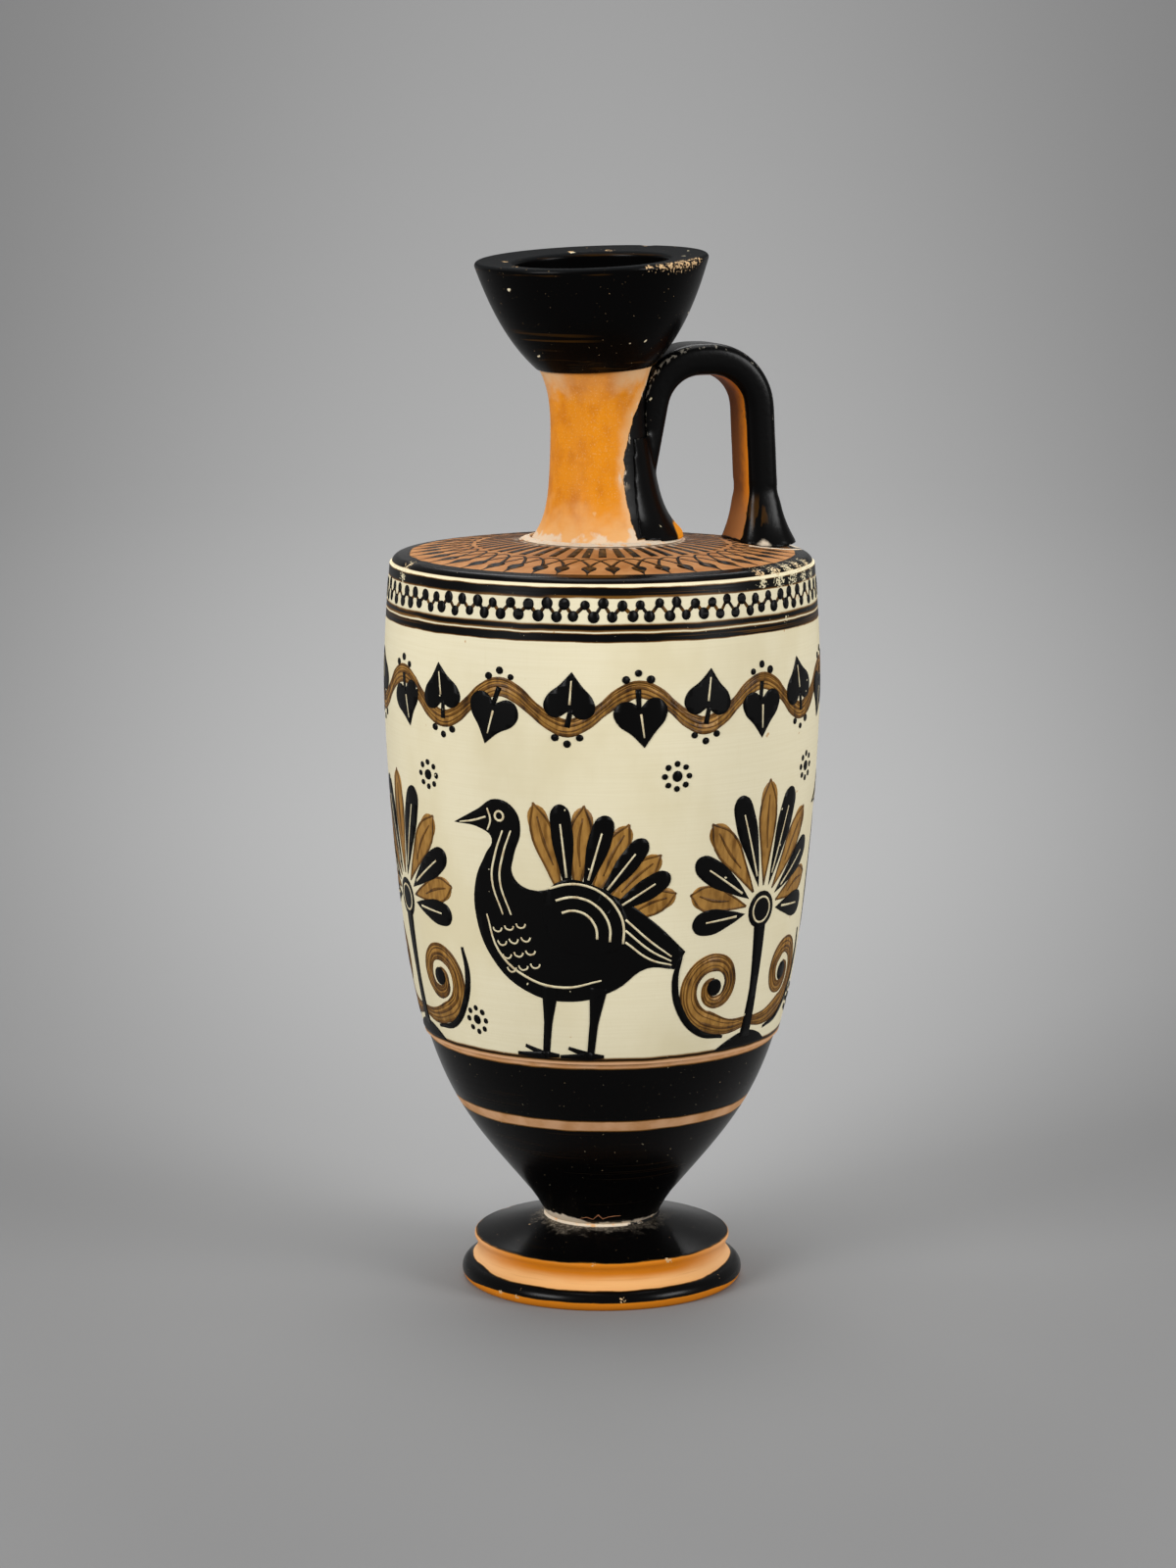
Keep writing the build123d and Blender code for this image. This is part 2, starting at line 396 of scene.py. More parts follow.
def blend(share, first, second):
    """A mix of two colours."""
    return add(share.tree, "Mix", 2, {0: share, 6: first, 7: second}, data_type="RGBA")


def noise(spot, size, stretch=(1, 1, 1), detail=3.0):
    """Soft noise whose patches are about this size, in metres, and longer where stretch is more than 1."""
    scale = [1 / (size * share) for share in stretch]
    placed = add(spot.tree, "Mapping", inputs={"Vector": spot, "Scale": scale})
    return add(spot.tree, "TexNoise", inputs={"Vector": placed, "Scale": 1.0, "Detail": detail})


def sway(spot, size, stretch=(1, 1, 1), detail=3.0):
    """The same noise about zero, to move an edge to and fro."""
    return noise(spot, size, stretch, detail) - 0.5


def specks(spot, size, share, fill):
    """Small ragged spots: cells of a given size, of which a share holds one spot that fills a part."""
    tree = spot.tree
    ragged = add(tree, "TexNoise", "Color", {"Vector": spot, "Scale": 2.2 / size, "Detail": 2.0})
    moved = add(tree, "VectorMath", inputs={0: ragged, "Scale": 0.5 * size}, operation="SCALE")
    placed = add(tree, "VectorMath", inputs={0: spot, 1: moved}, operation="ADD")
    cells = add(tree, "TexVoronoi", "Color", {"Vector": placed, "Scale": 1 / size})
    drawn = add(tree, "SeparateColor", 0, {0: cells})
    chosen = reckon("GREATER_THAN", drawn, 1 - share)
    return chosen * level(cells.other("Distance"), fill, 0.7 * fill)


# %% Where a point lies on the jar
to_mm = 1 / mm


def parts(vector):
    """The three parts of a vector."""
    x = add(vector.tree, "SeparateXYZ", 0, {0: vector})
    return x, x.other(1), x.other(2)


def dot(first, second):
    """How far one vector goes along another."""
    return add(first.tree, "VectorMath", 1, {0: first, 1: second}, operation="DOT_PRODUCT")


def distance(spot, place):
    """How far a point is from a place, in metres."""
    return add(spot.tree, "VectorMath", 1, {0: spot, 1: place}, operation="DISTANCE")


def span(vector):
    """How long a vector is."""
    return add(vector.tree, "VectorMath", 1, {0: vector}, operation="LENGTH")


def height_in_mm(spot):
    """How high a point is above the ground, in millimetres."""
    return parts(spot)[2] * to_mm


def radius_in_mm(spot):
    """How far a point is from the jar's axis, in millimetres."""
    flat = add(spot.tree, "VectorMath", inputs={0: spot, 1: (1, 1, 0)}, operation="MULTIPLY")
    return span(flat) * to_mm


def along_neck(spot):
    """A point's angle from the handle, in degrees, and its height on the leaning neck, in millimetres."""
    x, y, z = [dot(spot, row.xyz) + row.w for row in leaning.inverted()[:3]]
    return reckon("ARCTAN2", y, x) * math.degrees(1), z * to_mm


# %% Colours, as they look in plain light
gloss_shine = 0.09
gloss_black = (0.0016, 0.0015, 0.0015, 1)
golden_brown = (0.165, 0.070, 0.009, 1)
bare_clay = (0.56, 0.225, 0.050, 1)
shoulder_clay = (0.48, 0.225, 0.082, 1)
shoulder_clay_deep = (0.37, 0.15, 0.045, 1)
orange_wash = (0.79, 0.275, 0.011, 1)
deep_orange = (0.64, 0.200, 0.009, 1)
# painted shade: the darker clay of the strap's inner face, where it is in shade
shade_painted_orange = (0.20, 0.068, 0.017, 1)
peach_clay = (0.80, 0.43, 0.165, 1)
cream = (0.82, 0.745, 0.53, 1)
cream_shade = (0.74, 0.655, 0.43, 1)
pale_slip = (0.76, 0.64, 0.49, 1)
chip_tan = (0.60, 0.40, 0.21, 1)
# grey mixed onto the strap's outer corners
edge_grey = (0.26, 0.235, 0.19, 1)
print("black gloss reflects", gloss_black[0], "of red light, cream", cream[0])

# %% [markdown]
# ## Gloss
# The black is a fine slip that turned glassy in the kiln. It was brushed on while the pot turned, so
# where it ran thin it shows brown in level streaks. A coat of paint could be one colour, but the
# thickness is what the eye reads, so one value, the amount of gloss, drives the colour: none shows the
# ground, a little is golden, a lot is black.

# %% Paint by amount
golden_amounts = (0.05, 0.45)
black_amounts = (0.42, 0.85)


def painted(amount, ground):
    """The colour of a ground under some amount of gloss, from 0 to 1."""
    thin = blend(level(amount, *golden_amounts), ground, golden_brown)
    return blend(level(amount, *black_amounts), thin, gloss_black)


def level_streaks(spot, low, high):
    """Level brush streaks, long round the pot and a third of a millimetre tall."""
    streak = noise(spot, 0.38 * mm, (110, 110, 1), 2.0)
    patch = noise(spot, 11 * mm, (2.6, 2.6, 0.4), 1.0)
    return level(streak, low, high) * level(patch, 0.46, 0.68)


def thinned(amount, streaks, share):
    """Gloss made thinner, by a share of it, where there are streaks."""
    return level(streaks, 0.0, 1.0, 1.0, 1.0 - share) * amount


def bands(height, painted_bands, low, high, soft):
    """Amount of gloss by height, from a list of painted bands, each with soft edges."""
    share = level(height, low, high, kind="LINEAR")
    ramp = add(height.tree, "ValToRGB", inputs={0: share})
    stops = ramp.socket.node.color_ramp.elements
    for stop, end in zip(stops, (0.0, 1.0)):
        stop.position = end
        stop.color = (0, 0, 0, 1)
    for bottom, top in painted_bands:
        for edge, amount in ((bottom - soft, 0), (bottom, 1), (top, 1), (top + soft, 0)):
            stop = stops.new((edge - low) / (high - low))
            stop.color = (amount, amount, amount, 1)
    return ramp


print("gloss is golden from", golden_amounts[0], "and black from", black_amounts[1])

# %% [markdown]
# ## Chips
# A jar this old has lost flakes from its lip, its shoulder and its foot. A chip could be a spot of
# colour alone, but its edge catches light, so each is also dented: the nearest point is pulled in with
# proportional editing, and the finish reads the same list of places and bares the clay there.

# %% Dent a piece where it is chipped
dent_share = 0.1


def chip(angle, radius, height, size, stand=upright):
    """A place on a circle about an axis, from degrees and metres, and a size, from millimetres."""
    turned = math.radians(angle)
    centre = stand @ Vector((radius * math.cos(turned), radius * math.sin(turned), height))
    return centre, size * mm


def dent(piece, chips, middle):
    """Pull the surface in at each chip, toward the middle, by a share of the chip's size."""
    edit(piece)
    for centre, size in chips:
        inward = (Vector(middle) - centre).normalized()
        near = min(piece.data.vertices, key=lambda point: (point.co - centre).length).index
        select_points(piece, lambda point: point.index == near)
        bpy.ops.transform.translate(
            value=inward * dent_share * size,
            use_proportional_edit=True,
            proportional_edit_falloff="SMOOTH",
            proportional_size=size,
        )
    bpy.ops.object.mode_set(mode="OBJECT")
    print(piece.name, "has", len(chips), "chips")


def wear(spot, chips):
    """A mask of worn patches at the chips: grainy, and barest at the centre."""
    near = 0.0
    for centre, size in chips:
        near = most(near, level(distance(spot, centre), size, 0.0))
    grain = noise(spot, 0.4 * mm, detail=6.0)
    return level(grain + near * 0.28, 0.72, 0.76)


# %% Chips of the lip
lip_inset = 0.25 * mm
lip_rise = 45.5 * mm
lip_width = 4.6 * mm
lip_places = ((279, 1.3), (286, 1.9), (293, 2.3), (299, 2.7), (305, 2.8), (311, 2.4), (317, 1.5), (40, 1.8))
inner_lip_places = ((152, 1.4), (84, 1.3), (58, 1.5), (190, 1.2))
cup_low, cup_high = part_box("mouth")
lip_radius = 0.5 * (cup_high.y - cup_low.y) - lip_inset
cup_middle = leaning @ Vector((0, 0, 30 * mm))
lip_chips = [chip(angle, lip_radius, lip_rise, size, leaning) for angle, size in lip_places]
lip_chips += [
    chip(angle, lip_radius - lip_width, lip_rise, size, leaning) for angle, size in inner_lip_places
]
dent(cup_mouth, lip_chips, cup_middle)

# %% [markdown]
# ## The cup
# The cup was brushed with gloss on the wheel. The brush ran dry low on one side, hands have rubbed the
# flat lip dull, grit left pale pits, and the lip's top gets a painted grey sheen. These marks could be
# painted by hand, but height, side and direction say where they lie, so masks made from those place
# them.

# %% The cup's gloss
gloss_roughness = 0.26
rubbed_roughness = 0.85
cup_shine = 0.05
# painted sheen: a bluish grey for the top of the lip
lip_sheen_grey = (0.004, 0.0045, 0.005, 1)
dry_side = Vector((-0.94, 0.34, 0))
dry_rise = (41.0, 33.0)
dry_reach = (-9 * mm, 6 * mm)
cup_root_rise = (32.5, 30.0)
under_lip_rise = (44.3, 44.9)
lip_edge_rise = (45.4, 45.1)
rim_height = (160.0, 164.0)


def facing(spot):
    """The way the surface faces."""
    return add(spot.tree, "TexCoord", "Normal")


def make_cup_gloss():
    """Black with brown streaks low on the cup, pale pits, and a lip rubbed dull and chipped, with a painted
    grey sheen on its top.
    """
    material, shader, spot = start_finish("cup_gloss", gloss_roughness, cup_shine)
    rise = along_neck(spot)[1]
    streaks = level_streaks(spot, low=0.44, high=0.62)
    brushed_dry = streaks * level(rise, *dry_rise) * level(dot(spot, dry_side), *dry_reach)
    amount = thinned(1.0, brushed_dry, share=0.28)
    patch = level(noise(spot, 0.6 * mm, (14, 14, 1), 4.0), 0.36, 0.7)
    under_lip = level(rise, *under_lip_rise) * level(rise, *lip_edge_rise)
    edges = most(level(rise, *cup_root_rise), under_lip)
    amount = thinned(amount, edges * patch, share=0.26)
    # painted sheen: the lip's upward-facing top is mixed toward a bluish grey; its matt roughness is real
    # wear
    grey_matt = level(parts(facing(spot))[2], 0.2, 0.8) * level(height_in_mm(spot), *rim_height)
    colour = blend(grey_matt, painted(amount, bare_clay), lip_sheen_grey)
    pits = specks(spot, 3.0 * mm, share=0.14, fill=0.12)
    lost = most(wear(spot, lip_chips), pits)
    colour = blend(lost, colour, blend(pits, chip_tan, cream))
    roughness = level(most(lost, grey_matt * 0.9), 0, 1, gloss_roughness, rubbed_roughness)
    dress(shader, colour, roughness, noise(spot, 0.5 * mm, (40, 40, 1), 2.0), depth=0.012 * mm)
    return material


cup_mouth.data.materials.append(make_cup_gloss())

# %% [markdown]
# ## The strap's gloss
# The handle was dipped and brushed, but nobody could reach the face inside the loop, so that face
# stayed bare. A mask could be painted by hand; here the surface's own direction makes it: what faces
# the middle of the loop is bare, and its clay is painted darker toward the back as shade. The thin
# outer edges of the strap are painted grey and made matt.

# %% Where the strap is bare or rubbed
loop_low, loop_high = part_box("handle")
loop_size = loop_high - loop_low
loop_middle = Vector((loop_low.x + 0.46 * loop_size.x, 0, loop_low.z + 0.42 * loop_size.z))
root_inner_side = (9.9 * mm, 10.5 * mm)
root_outer_side = (15.5 * mm, 15.0 * mm)
root_skirt_rise = (3.2 * mm, 2.4 * mm)
neck_side_reach = (17.0 * mm, 13.0 * mm)
grey_edge_rise = (15.0 * mm, 20.0 * mm)


def toward_loop(spot):
    """How squarely a point of the strap faces the middle of the loop."""
    to_middle = add(spot.tree, "VectorMath", inputs={0: loop_middle, 1: spot}, operation="SUBTRACT")
    way = add(spot.tree, "VectorMath", inputs={0: to_middle}, operation="NORMALIZE")
    return dot(way, facing(spot))


def root_skirt(x, rise):
    """A mask of the smeared clay at the strap's root on the neck's side."""
    return level(x, *root_inner_side) * level(x, *root_outer_side) * level(rise, *root_skirt_rise)


def grey_edges(spot, x, rise, inward, sideways):
    """A mask of the strap's outer corners, grainy, stronger on the neck's side and high up, that turns grey
    and matt.
    """
    corner = level(sideways, 0.45, 0.6) * level(sideways, 0.93, 0.8)
    neck_side = level(x, *neck_side_reach, 0.0, 0.14)
    edge_grain = noise(spot, 0.5 * mm, (1.5, 1, 2.5), 5.0) + neck_side
    grey_outward = level(edge_grain, 0.62, 0.68) * level(inward, 0.0, -0.3)
    return corner * grey_outward * level(rise, *grey_edge_rise)


print("loop middle:", [round(part / mm, 1) for part in loop_middle])

# %% The strap's finish
bare_roughness = 0.62
thin_place = (25.0 * mm, -4.6 * mm, shoulder_top + 3.6 * mm)
thin_reach = (4.2 * mm, 1.5 * mm)
root_slip_place = (25.4 * mm, -7.8 * mm, shoulder_top - 1.5 * mm)
root_slip_reach = (1.7 * mm, 0.9 * mm)
lit_front_reach = (0.5 * mm, -3.6 * mm)
root_clay_rise = (8.0 * mm, 2.0 * mm)


def make_strap_gloss():
    """Black outside and on the sides, bare clay inside the loop with painted shade at its back, pale pits,
    and grey outer edges.
    """
    material, shader, spot = start_finish("strap_gloss", gloss_roughness, gloss_shine)
    x, y, z = parts(spot)
    rise = z - shoulder_top
    inward = toward_loop(spot)
    sideways = abs(parts(facing(spot))[1])
    ragged = sway(spot, 1.4 * mm) * 0.3
    skirt = root_skirt(x, rise)
    bare = most(level(inward + ragged, 0.56, 0.68) * level(sideways, 0.34, 0.24), skirt)
    pull = noise(spot, 1.2 * mm, (1, 1, 7), 4.0)
    thin = level(pull, 0.42, 0.6, 0.0, level(distance(spot, thin_place), *thin_reach, 0.14, 0.28))
    # painted shade: the bare clay inside the loop is darker toward its back and brighter toward its front
    front = level(y + sway(spot, 2 * mm) * (3.0 * mm), *lit_front_reach)
    clay = blend(front, shade_painted_orange, deep_orange)
    clay = blend(level(rise, *root_clay_rise), clay, shoulder_clay_deep)
    clay = blend(skirt, clay, orange_wash)
    colour = painted((1.0 - thin) * (1.0 - bare), clay)
    grey_matt = grey_edges(spot, x, rise, inward, sideways)
    pits = specks(spot, 2.6 * mm, share=0.16, fill=0.13)
    colour = blend(pits, colour, cream_shade)
    # the strap's outer corners are mixed toward grey and made matt
    colour = blend(grey_matt, colour, edge_grey)
    from_slip = distance(spot, root_slip_place) + ragged * (6 * mm)
    colour = blend(level(from_slip, *root_slip_reach, 0.0, 0.75), colour, pale_slip)
    matt = most(most(grey_matt, pits), bare)
    roughness = level(matt, 0, 1, gloss_roughness, bare_roughness)
    dress(shader, colour, roughness, noise(spot, 0.9 * mm), depth=0.02 * mm)
    return material


strap.data.materials.append(make_strap_gloss())

# %% [markdown]
# ## The foot
# The foot is a disc over a rounded base, with a groove between. The painter held a brush to it on the
# wheel, so its colours follow its height: bare at the ground, a black roll, a bare cove and a black
# top. A ramp by height could paint all of it, but the roll's band is wider at the sides than in front,
# so that band gets a width of its own.

# %% Chips of the foot
foot_chip_places = (
    (204, 23.1, 1.3, 1.3), (213, 23.1, 1.2, 1.0), (246, 21.2, 7.4, 1.0), (258, 23.2, 2.0, 1.1),
    (281, 21.2, 7.3, 1.4), (20, 22.9, 2.9, 2.0), (120, 21.2, 7.3, 1.6),
)
foot_chips = [
    chip(angle, radius * mm, height * mm, size) for angle, radius, height, size in foot_chip_places
]
dent(foot_disc, foot_chips, (0, 0, 5 * mm))

# %% Gloss of the foot
foot_bands = ((7.62, 11.5),)
roll_middle = 2.3
roll_half_front = 0.85
roll_half_side = 1.25
roll_soft = 0.12


def foot_gloss(spot, height, sides):
    """The amount of gloss on the foot: the top and the roll, with streaks."""
    drift = sway(spot, 5 * mm) * 0.35
    amount = bands(height + drift, foot_bands, low=-1.0, high=12.0, soft=0.22)
    half_roll = level(sides, 0.0, 1.0, roll_half_front, roll_half_side)
    past_roll = abs(height - roll_middle) - half_roll + drift
    amount = most(amount, level(past_roll, roll_soft, -roll_soft))
    return thinned(amount, level_streaks(spot, low=0.5, high=0.68), share=0.2)


print("foot bands:", foot_bands)

# %% Clay and dust of the foot
# painted light: the paler clay at the sides of the cove
cove_painted_light = (0.86, 0.50, 0.25, 1)
cove_shade_height = (5.9, 4.0)
base_height = (2.4, 1.4)
dust_radius = (12.4, 9.4)
dust_height = (8.0, 9.0)


def foot_clay(spot, height, sides):
    """The clay of the foot: orange with painted shade high in the cove under the disc, paler low in it and
    painted light at the sides, with brush lines.
    """
    uneven = sway(spot, 4 * mm, (3, 3, 1)) * 1.6
    # painted shade: the cove is darker orange high up, under the disc, and paler on its lower flare
    clay = blend(level(height + uneven, *cove_shade_height), deep_orange, peach_clay)
    brush_lines = level(noise(spot, 0.3 * mm, (30, 30, 1)), 0.5, 0.75, 0.0, 0.3)
    clay = blend(brush_lines, clay, bare_clay)
    # painted light: the cove is paler at the sides than in front
    clay = blend(sides * 0.6, clay, cove_painted_light)
    return blend(level(height, *base_height), clay, deep_orange)


def stem_dust(spot, height):
    """A mask of the slip that dusted the top of the foot beside the stem."""
    from_stem = radius_in_mm(spot) + sway(spot, 1.8 * mm, detail=5.0) * 8.0
    dust = level(from_stem, *dust_radius) * level(height, *dust_height)
    dust = dust * level(dot(spot, dry_side), -5 * mm, 3 * mm, 0.3, 1.0)
    return dust * level(noise(spot, 0.4 * mm, detail=5.0), 0.42, 0.7, 0.1, 0.4)


print("the cove is palest below", cove_shade_height[1], "mm")

# %% Foot finish
foot_roughness = 0.24
front_angle = math.radians(250)
front_side = Vector((math.cos(front_angle), math.sin(front_angle), 0))
side_reach = (18 * mm, 6 * mm)


def make_foot_finish():
    """Bands of gloss on orange clay, with chips, pits and a dust of slip."""
    material, shader, spot = start_finish("foot_gloss", foot_roughness, gloss_shine)
    height = height_in_mm(spot)
    sides = level(dot(spot, front_side), *side_reach)
    amount = foot_gloss(spot, height, sides)
    colour = painted(amount, foot_clay(spot, height, sides))
    colour = blend(stem_dust(spot, height), colour, pale_slip)
    lost = most(wear(spot, foot_chips), specks(spot, 3.0 * mm, share=0.06, fill=0.1))
    colour = blend(lost, colour, chip_tan)
    roughness = level(amount, 0.2, 0.9, 0.55, foot_roughness)
    dress(shader, colour, roughness, noise(spot, 0.6 * mm, (14, 14, 1)), depth=0.02 * mm)
    return material


foot_disc.data.materials.append(make_foot_finish())
print("the front is at", round(math.degrees(front_angle)), "degrees")

# %% [markdown]
# ## The body
# Below the coat the wall is black with one reserved line, and the shoulder is bare clay with a black
# edge. Each band could have a material of its own, with a hard edge between, but all of them follow
# height, so one ramp by height paints them, with a slow drift that a turning brush would leave.

# %% Chips of the shoulder's edge
edge_inset = 1.9 * mm
edge_height = 121.2 * mm
edge_chip_places = ((297, 2.4), (304, 3.0), (311, 3.2), (318, 3.0), (325, 2.6), (183, 2.4), (60, 3.0))
edge_radius = 0.5 * (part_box("body")[1].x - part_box("body")[0].x) - edge_inset
edge_chips = [chip(angle, edge_radius, edge_height, size) for angle, size in edge_chip_places]
dent(jar_body, edge_chips, (0, 0, 100 * mm))

# %% Gloss of the body
body_bands = ((9.0, 30.44), (32.16, 41.97))
edge_band_inner = 31.5
edge_band_low = 120.8
edge_band_soft = 0.12
steady_height = (110, 100)


def body_gloss(spot, height, radius):
    """The amount of gloss on the body: bands by height and the shoulder's edge, with streaks."""
    drift = sway(spot, 7 * mm) * 0.5 * most(level(height, *steady_height), 0.12)
    amount = bands(height + drift, body_bands, low=8.0, high=126.0, soft=0.1)
    wander = sway(spot, 5 * mm) * 0.9
    edge = level(radius + wander, edge_band_inner - edge_band_soft, edge_band_inner + edge_band_soft)
    edge = edge * level(height, edge_band_low - 0.1, edge_band_low + 0.1)
    return thinned(most(amount, edge), level_streaks(spot, low=0.5, high=0.68), share=0.2)


print("body bands:", body_bands)

# %% Ground of the body
reserved_clay = (0.68, 0.385, 0.205, 1)
reserved_deep = (0.54, 0.265, 0.105, 1)
cream_height = (118, 119)
shoulder_height = (121.0, 121.4)
slip_smear_radius = 14.0


def body_ground(height, radius, mottle, ragged):
    """What is under the gloss: reserved clay, cream above it, and on the shoulder clay with slip."""
    on_top = blend(mottle, shoulder_clay, shoulder_clay_deep)
    from_smear = radius - slip_smear_radius + ragged * 6.0
    on_top = blend(level(from_smear, 0.6, -0.6, 0.0, 0.75), on_top, pale_slip)
    reserved = blend(mottle, reserved_clay, reserved_deep)
    ground = blend(level(height, *cream_height), reserved, cream)
    return blend(level(height, *shoulder_height), ground, on_top)


print("slip is smeared", slip_smear_radius, "mm round the neck")

# %% Body finish
stem_slip_side = (1.5 * mm, 6.0 * mm)
stem_slip_heights = (11.2, 12.0)


def make_body_finish():
    """Gloss below, reserved lines, cream at the top of the wall and clay on the shoulder."""
    material, shader, spot = start_finish("body_gloss", gloss_roughness, gloss_shine)
    height = height_in_mm(spot)
    radius = radius_in_mm(spot)
    mottle = level(noise(spot, 3.5 * mm), 0.3, 0.72)
    ragged = sway(spot, 1.6 * mm, detail=5.0)
    amount = body_gloss(spot, height, radius)
    colour = painted(amount, body_ground(height, radius, mottle, ragged))
    slip_top = level(dot(spot, dry_side), *stem_slip_side, *stem_slip_heights)
    above_slip = height - slip_top + ragged * 1.4
    colour = blend(level(above_slip, 0.15, -0.15), colour, pale_slip)
    lost = most(wear(spot, edge_chips), specks(spot, 3.2 * mm, share=0.04, fill=0.09))
    colour = blend(lost, colour, blend(mottle, chip_tan, cream_shade))
    roughness = level(amount, 0.2, 0.9, 0.58, gloss_roughness)
    dress(shader, colour, roughness, noise(spot, 0.7 * mm, (20, 20, 1)), depth=0.02 * mm)
    return material


jar_body.data.materials.append(make_body_finish())
print("slip rises on the stem to", stem_slip_heights[1], "mm")

# %% [markdown]
# ## The white coat
# The wall's coat is a cream slip, smoothed with a soft tool while the jar turned, which left fine level
# lines in it. Age has stained it a little. A picture of old slip could be wrapped round it, but noise
# that is long round the jar gives the same lines at their true size. The painted lines follow height,
# like the bands of the body, so the same ramp paints them.

# %% Worn places of the coat
coat_inset = 0.8 * mm
coat_chip_places = (
    (297, 119.8, 2.2), (304, 119.6, 2.8), (311, 119.6, 3.0), (318, 119.4, 3.0), (325, 119.4, 2.6),
    (309, 116.6, 1.6), (306, 113.2, 1.4), (183, 119.6, 2.4), (182.5, 117.4, 2.2), (182, 115.4, 1.6),
    (70, 119.0, 3.0), (120, 113.0, 2.4),
)
coat_radius = 0.5 * (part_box("white_ground")[1].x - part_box("white_ground")[0].x) - coat_inset
coat_chips = [chip(angle, coat_radius, height * mm, size) for angle, height, size in coat_chip_places]
print("worn places of the coat:", len(coat_chips))

# %% Coat finish
coat_bands = ((43.42, 43.72), (111.88, 113.0), (113.7, 114.4), (118.85, 120.15))
coat_bottom = (43.3, 43.42)


def aged_slip(spot):
    """Cream slip with stains, the level lines of the tool, faint drips and specks."""
    stain = level(noise(spot, 16 * mm, (1, 1, 1.6), 4.0), 0.42, 0.72)
    slip = blend(stain, cream, cream_shade)
    burnish = level(noise(spot, 0.3 * mm, (50, 50, 1), 2.0), 0.3, 0.7, 0.0, 0.3)
    slip = blend(burnish, slip, cream_shade)
    drips = level(noise(spot, 0.34 * mm, (1, 1, 26), 2.0), 0.55, 0.75, 0.0, 0.2)
    slip = blend(drips, slip, cream_shade)
    return blend(specks(spot, 3.6 * mm, share=0.22, fill=0.09), slip, chip_tan)


def make_coat_finish():
    """Aged slip with painted lines above and below, worn at the chips."""
    material, shader, spot = start_finish("white_coat", roughness=0.5, shine=0.12)
    height = height_in_mm(spot)
    drift = sway(spot, 6 * mm) * 0.42
    amount = bands(height + drift, coat_bands, low=40.0, high=123.0, soft=0.24)
    amount = thinned(amount, level_streaks(spot, low=0.46, high=0.62), share=0.35)
    ground = blend(level(height, *coat_bottom), reserved_clay, aged_slip(spot))
    colour = blend(wear(spot, coat_chips), painted(amount, ground), cream_shade)
    roughness = level(amount, 0.2, 0.9, 0.52, 0.3)
    dress(shader, colour, roughness, noise(spot, 0.4 * mm, (30, 30, 1)), depth=0.015 * mm)
    return material


white_coat.data.materials.append(make_coat_finish())
print("coat bands:", coat_bands)

# %% [markdown]
# ## The neck
# The neck kept its clay, brightened by an orange wash that has run a little, and gloss ran down on it
# from the handle. That patch could be a drawn shape, but its edge is a simple curve of height, so the
# angle from the handle is compared with a width that shrinks upward.

# %% Wash and gloss of the neck
patch_half_angle = 81
patch_rise = (12.0, 28.0)


def neck_wash(spot):
    """Orange wash, mottled and brushed."""
    mottle = level(noise(spot, 2.6 * mm, (1, 1, 1.6), 6.0), 0.4, 0.74)
    wash = blend(mottle, orange_wash, deep_orange)
    brush_lines = level(noise(spot, 0.35 * mm, (12, 12, 1)), 0.5, 0.8, 0.0, 0.35)
    return blend(brush_lines, wash, deep_orange)


def inside_patch(angle, rise, ragged):
    """How many degrees a point is inside the patch of gloss that ran down from the handle."""
    bend = level(rise, *patch_rise, 0.0, math.pi / 2, "LINEAR")
    half = reckon("POWER", reckon("COSINE", bend), 0.8) * patch_half_angle
    return half - abs(angle) + ragged * 12.0


print("the gloss reaches", patch_half_angle, "degrees to each side of the handle")

# %% Neck finish
neck_pale = (0.84, 0.47, 0.20, 1)
neck_top_pale = (0.74, 0.46, 0.235, 1)
neck_front = -115
neck_top = (22.5, 28.0)


def worn_pale(spot, rise, drift):
    """A mask of where the wash is pale: near the neck's foot, in crumbs and in flecks."""
    foot = level(rise - drift, 9.0, 0.0, 0.0, 0.9)
    crumbs = level(noise(spot, 0.28 * mm, detail=4.0), 0.54, 0.72, 0.0, 0.4)
    return most(most(foot, crumbs), specks(spot, 3.4 * mm, share=0.3, fill=0.12) * 0.8)


def make_neck_finish():
    """Orange wash over clay, pale near both ends, and gloss that ran down from the handle."""
    material, shader, spot = start_finish("neck_wash", roughness=0.42, shine=0.12)
    angle, rise = along_neck(spot)
    ragged = sway(spot, 2.4 * mm, detail=5.0)
    drift = ragged * 9.0
    pale = worn_pale(spot, rise, drift)
    ground = blend(pale, neck_wash(spot), peach_clay)
    # the neck is mixed paler toward its top, most at its sides away from the front
    top = level(rise + drift, *neck_top) * level(abs(angle - neck_front), 14.0, 42.0, 0.2, 0.95)
    ground = blend(top, ground, neck_top_pale)
    inside = inside_patch(angle, rise, ragged)
    margin = level(rise, 14.0, 24.0, -12.0, -28.0)
    ground = blend(level(inside, margin, -1.0, 0.0, 0.8), ground, neck_pale)
    ground = blend(level(rise + ragged * 7.0, 1.9, 0.9, 0.0, 0.75), ground, pale_slip)
    gloss = level(inside, -1.2, 1.2) * level(rise, 0.7, 1.3)
    near_edge = level(inside, -9.0, -1.0) * level(inside, 7.0, 1.0)
    flakes = level(noise(spot, 1.0 * mm, (1, 1, 2.5), 5.0), 0.54, 0.6) * level(rise, 8.0, 12.0)
    flaked = near_edge * flakes
    colour = blend(flaked, painted(gloss, ground), pale_slip)
    roughness = level(most(pale, flaked), 0, 1, 0.4, 0.7)
    dress(shader, colour, roughness, noise(spot, 0.5 * mm, (6, 6, 1)), depth=0.02 * mm)
    return material


neck_tube.data.materials.append(make_neck_finish())
print("the neck is pale_toned above", neck_top[0], "mm")

# %% [markdown]
# ## Slip in the joints
# Where pieces were stuck together, pale slip squeezed out and dried rough. A smooth ring with a rough
# colour would look moulded, so each ring is also displaced a little by cloudy noise.

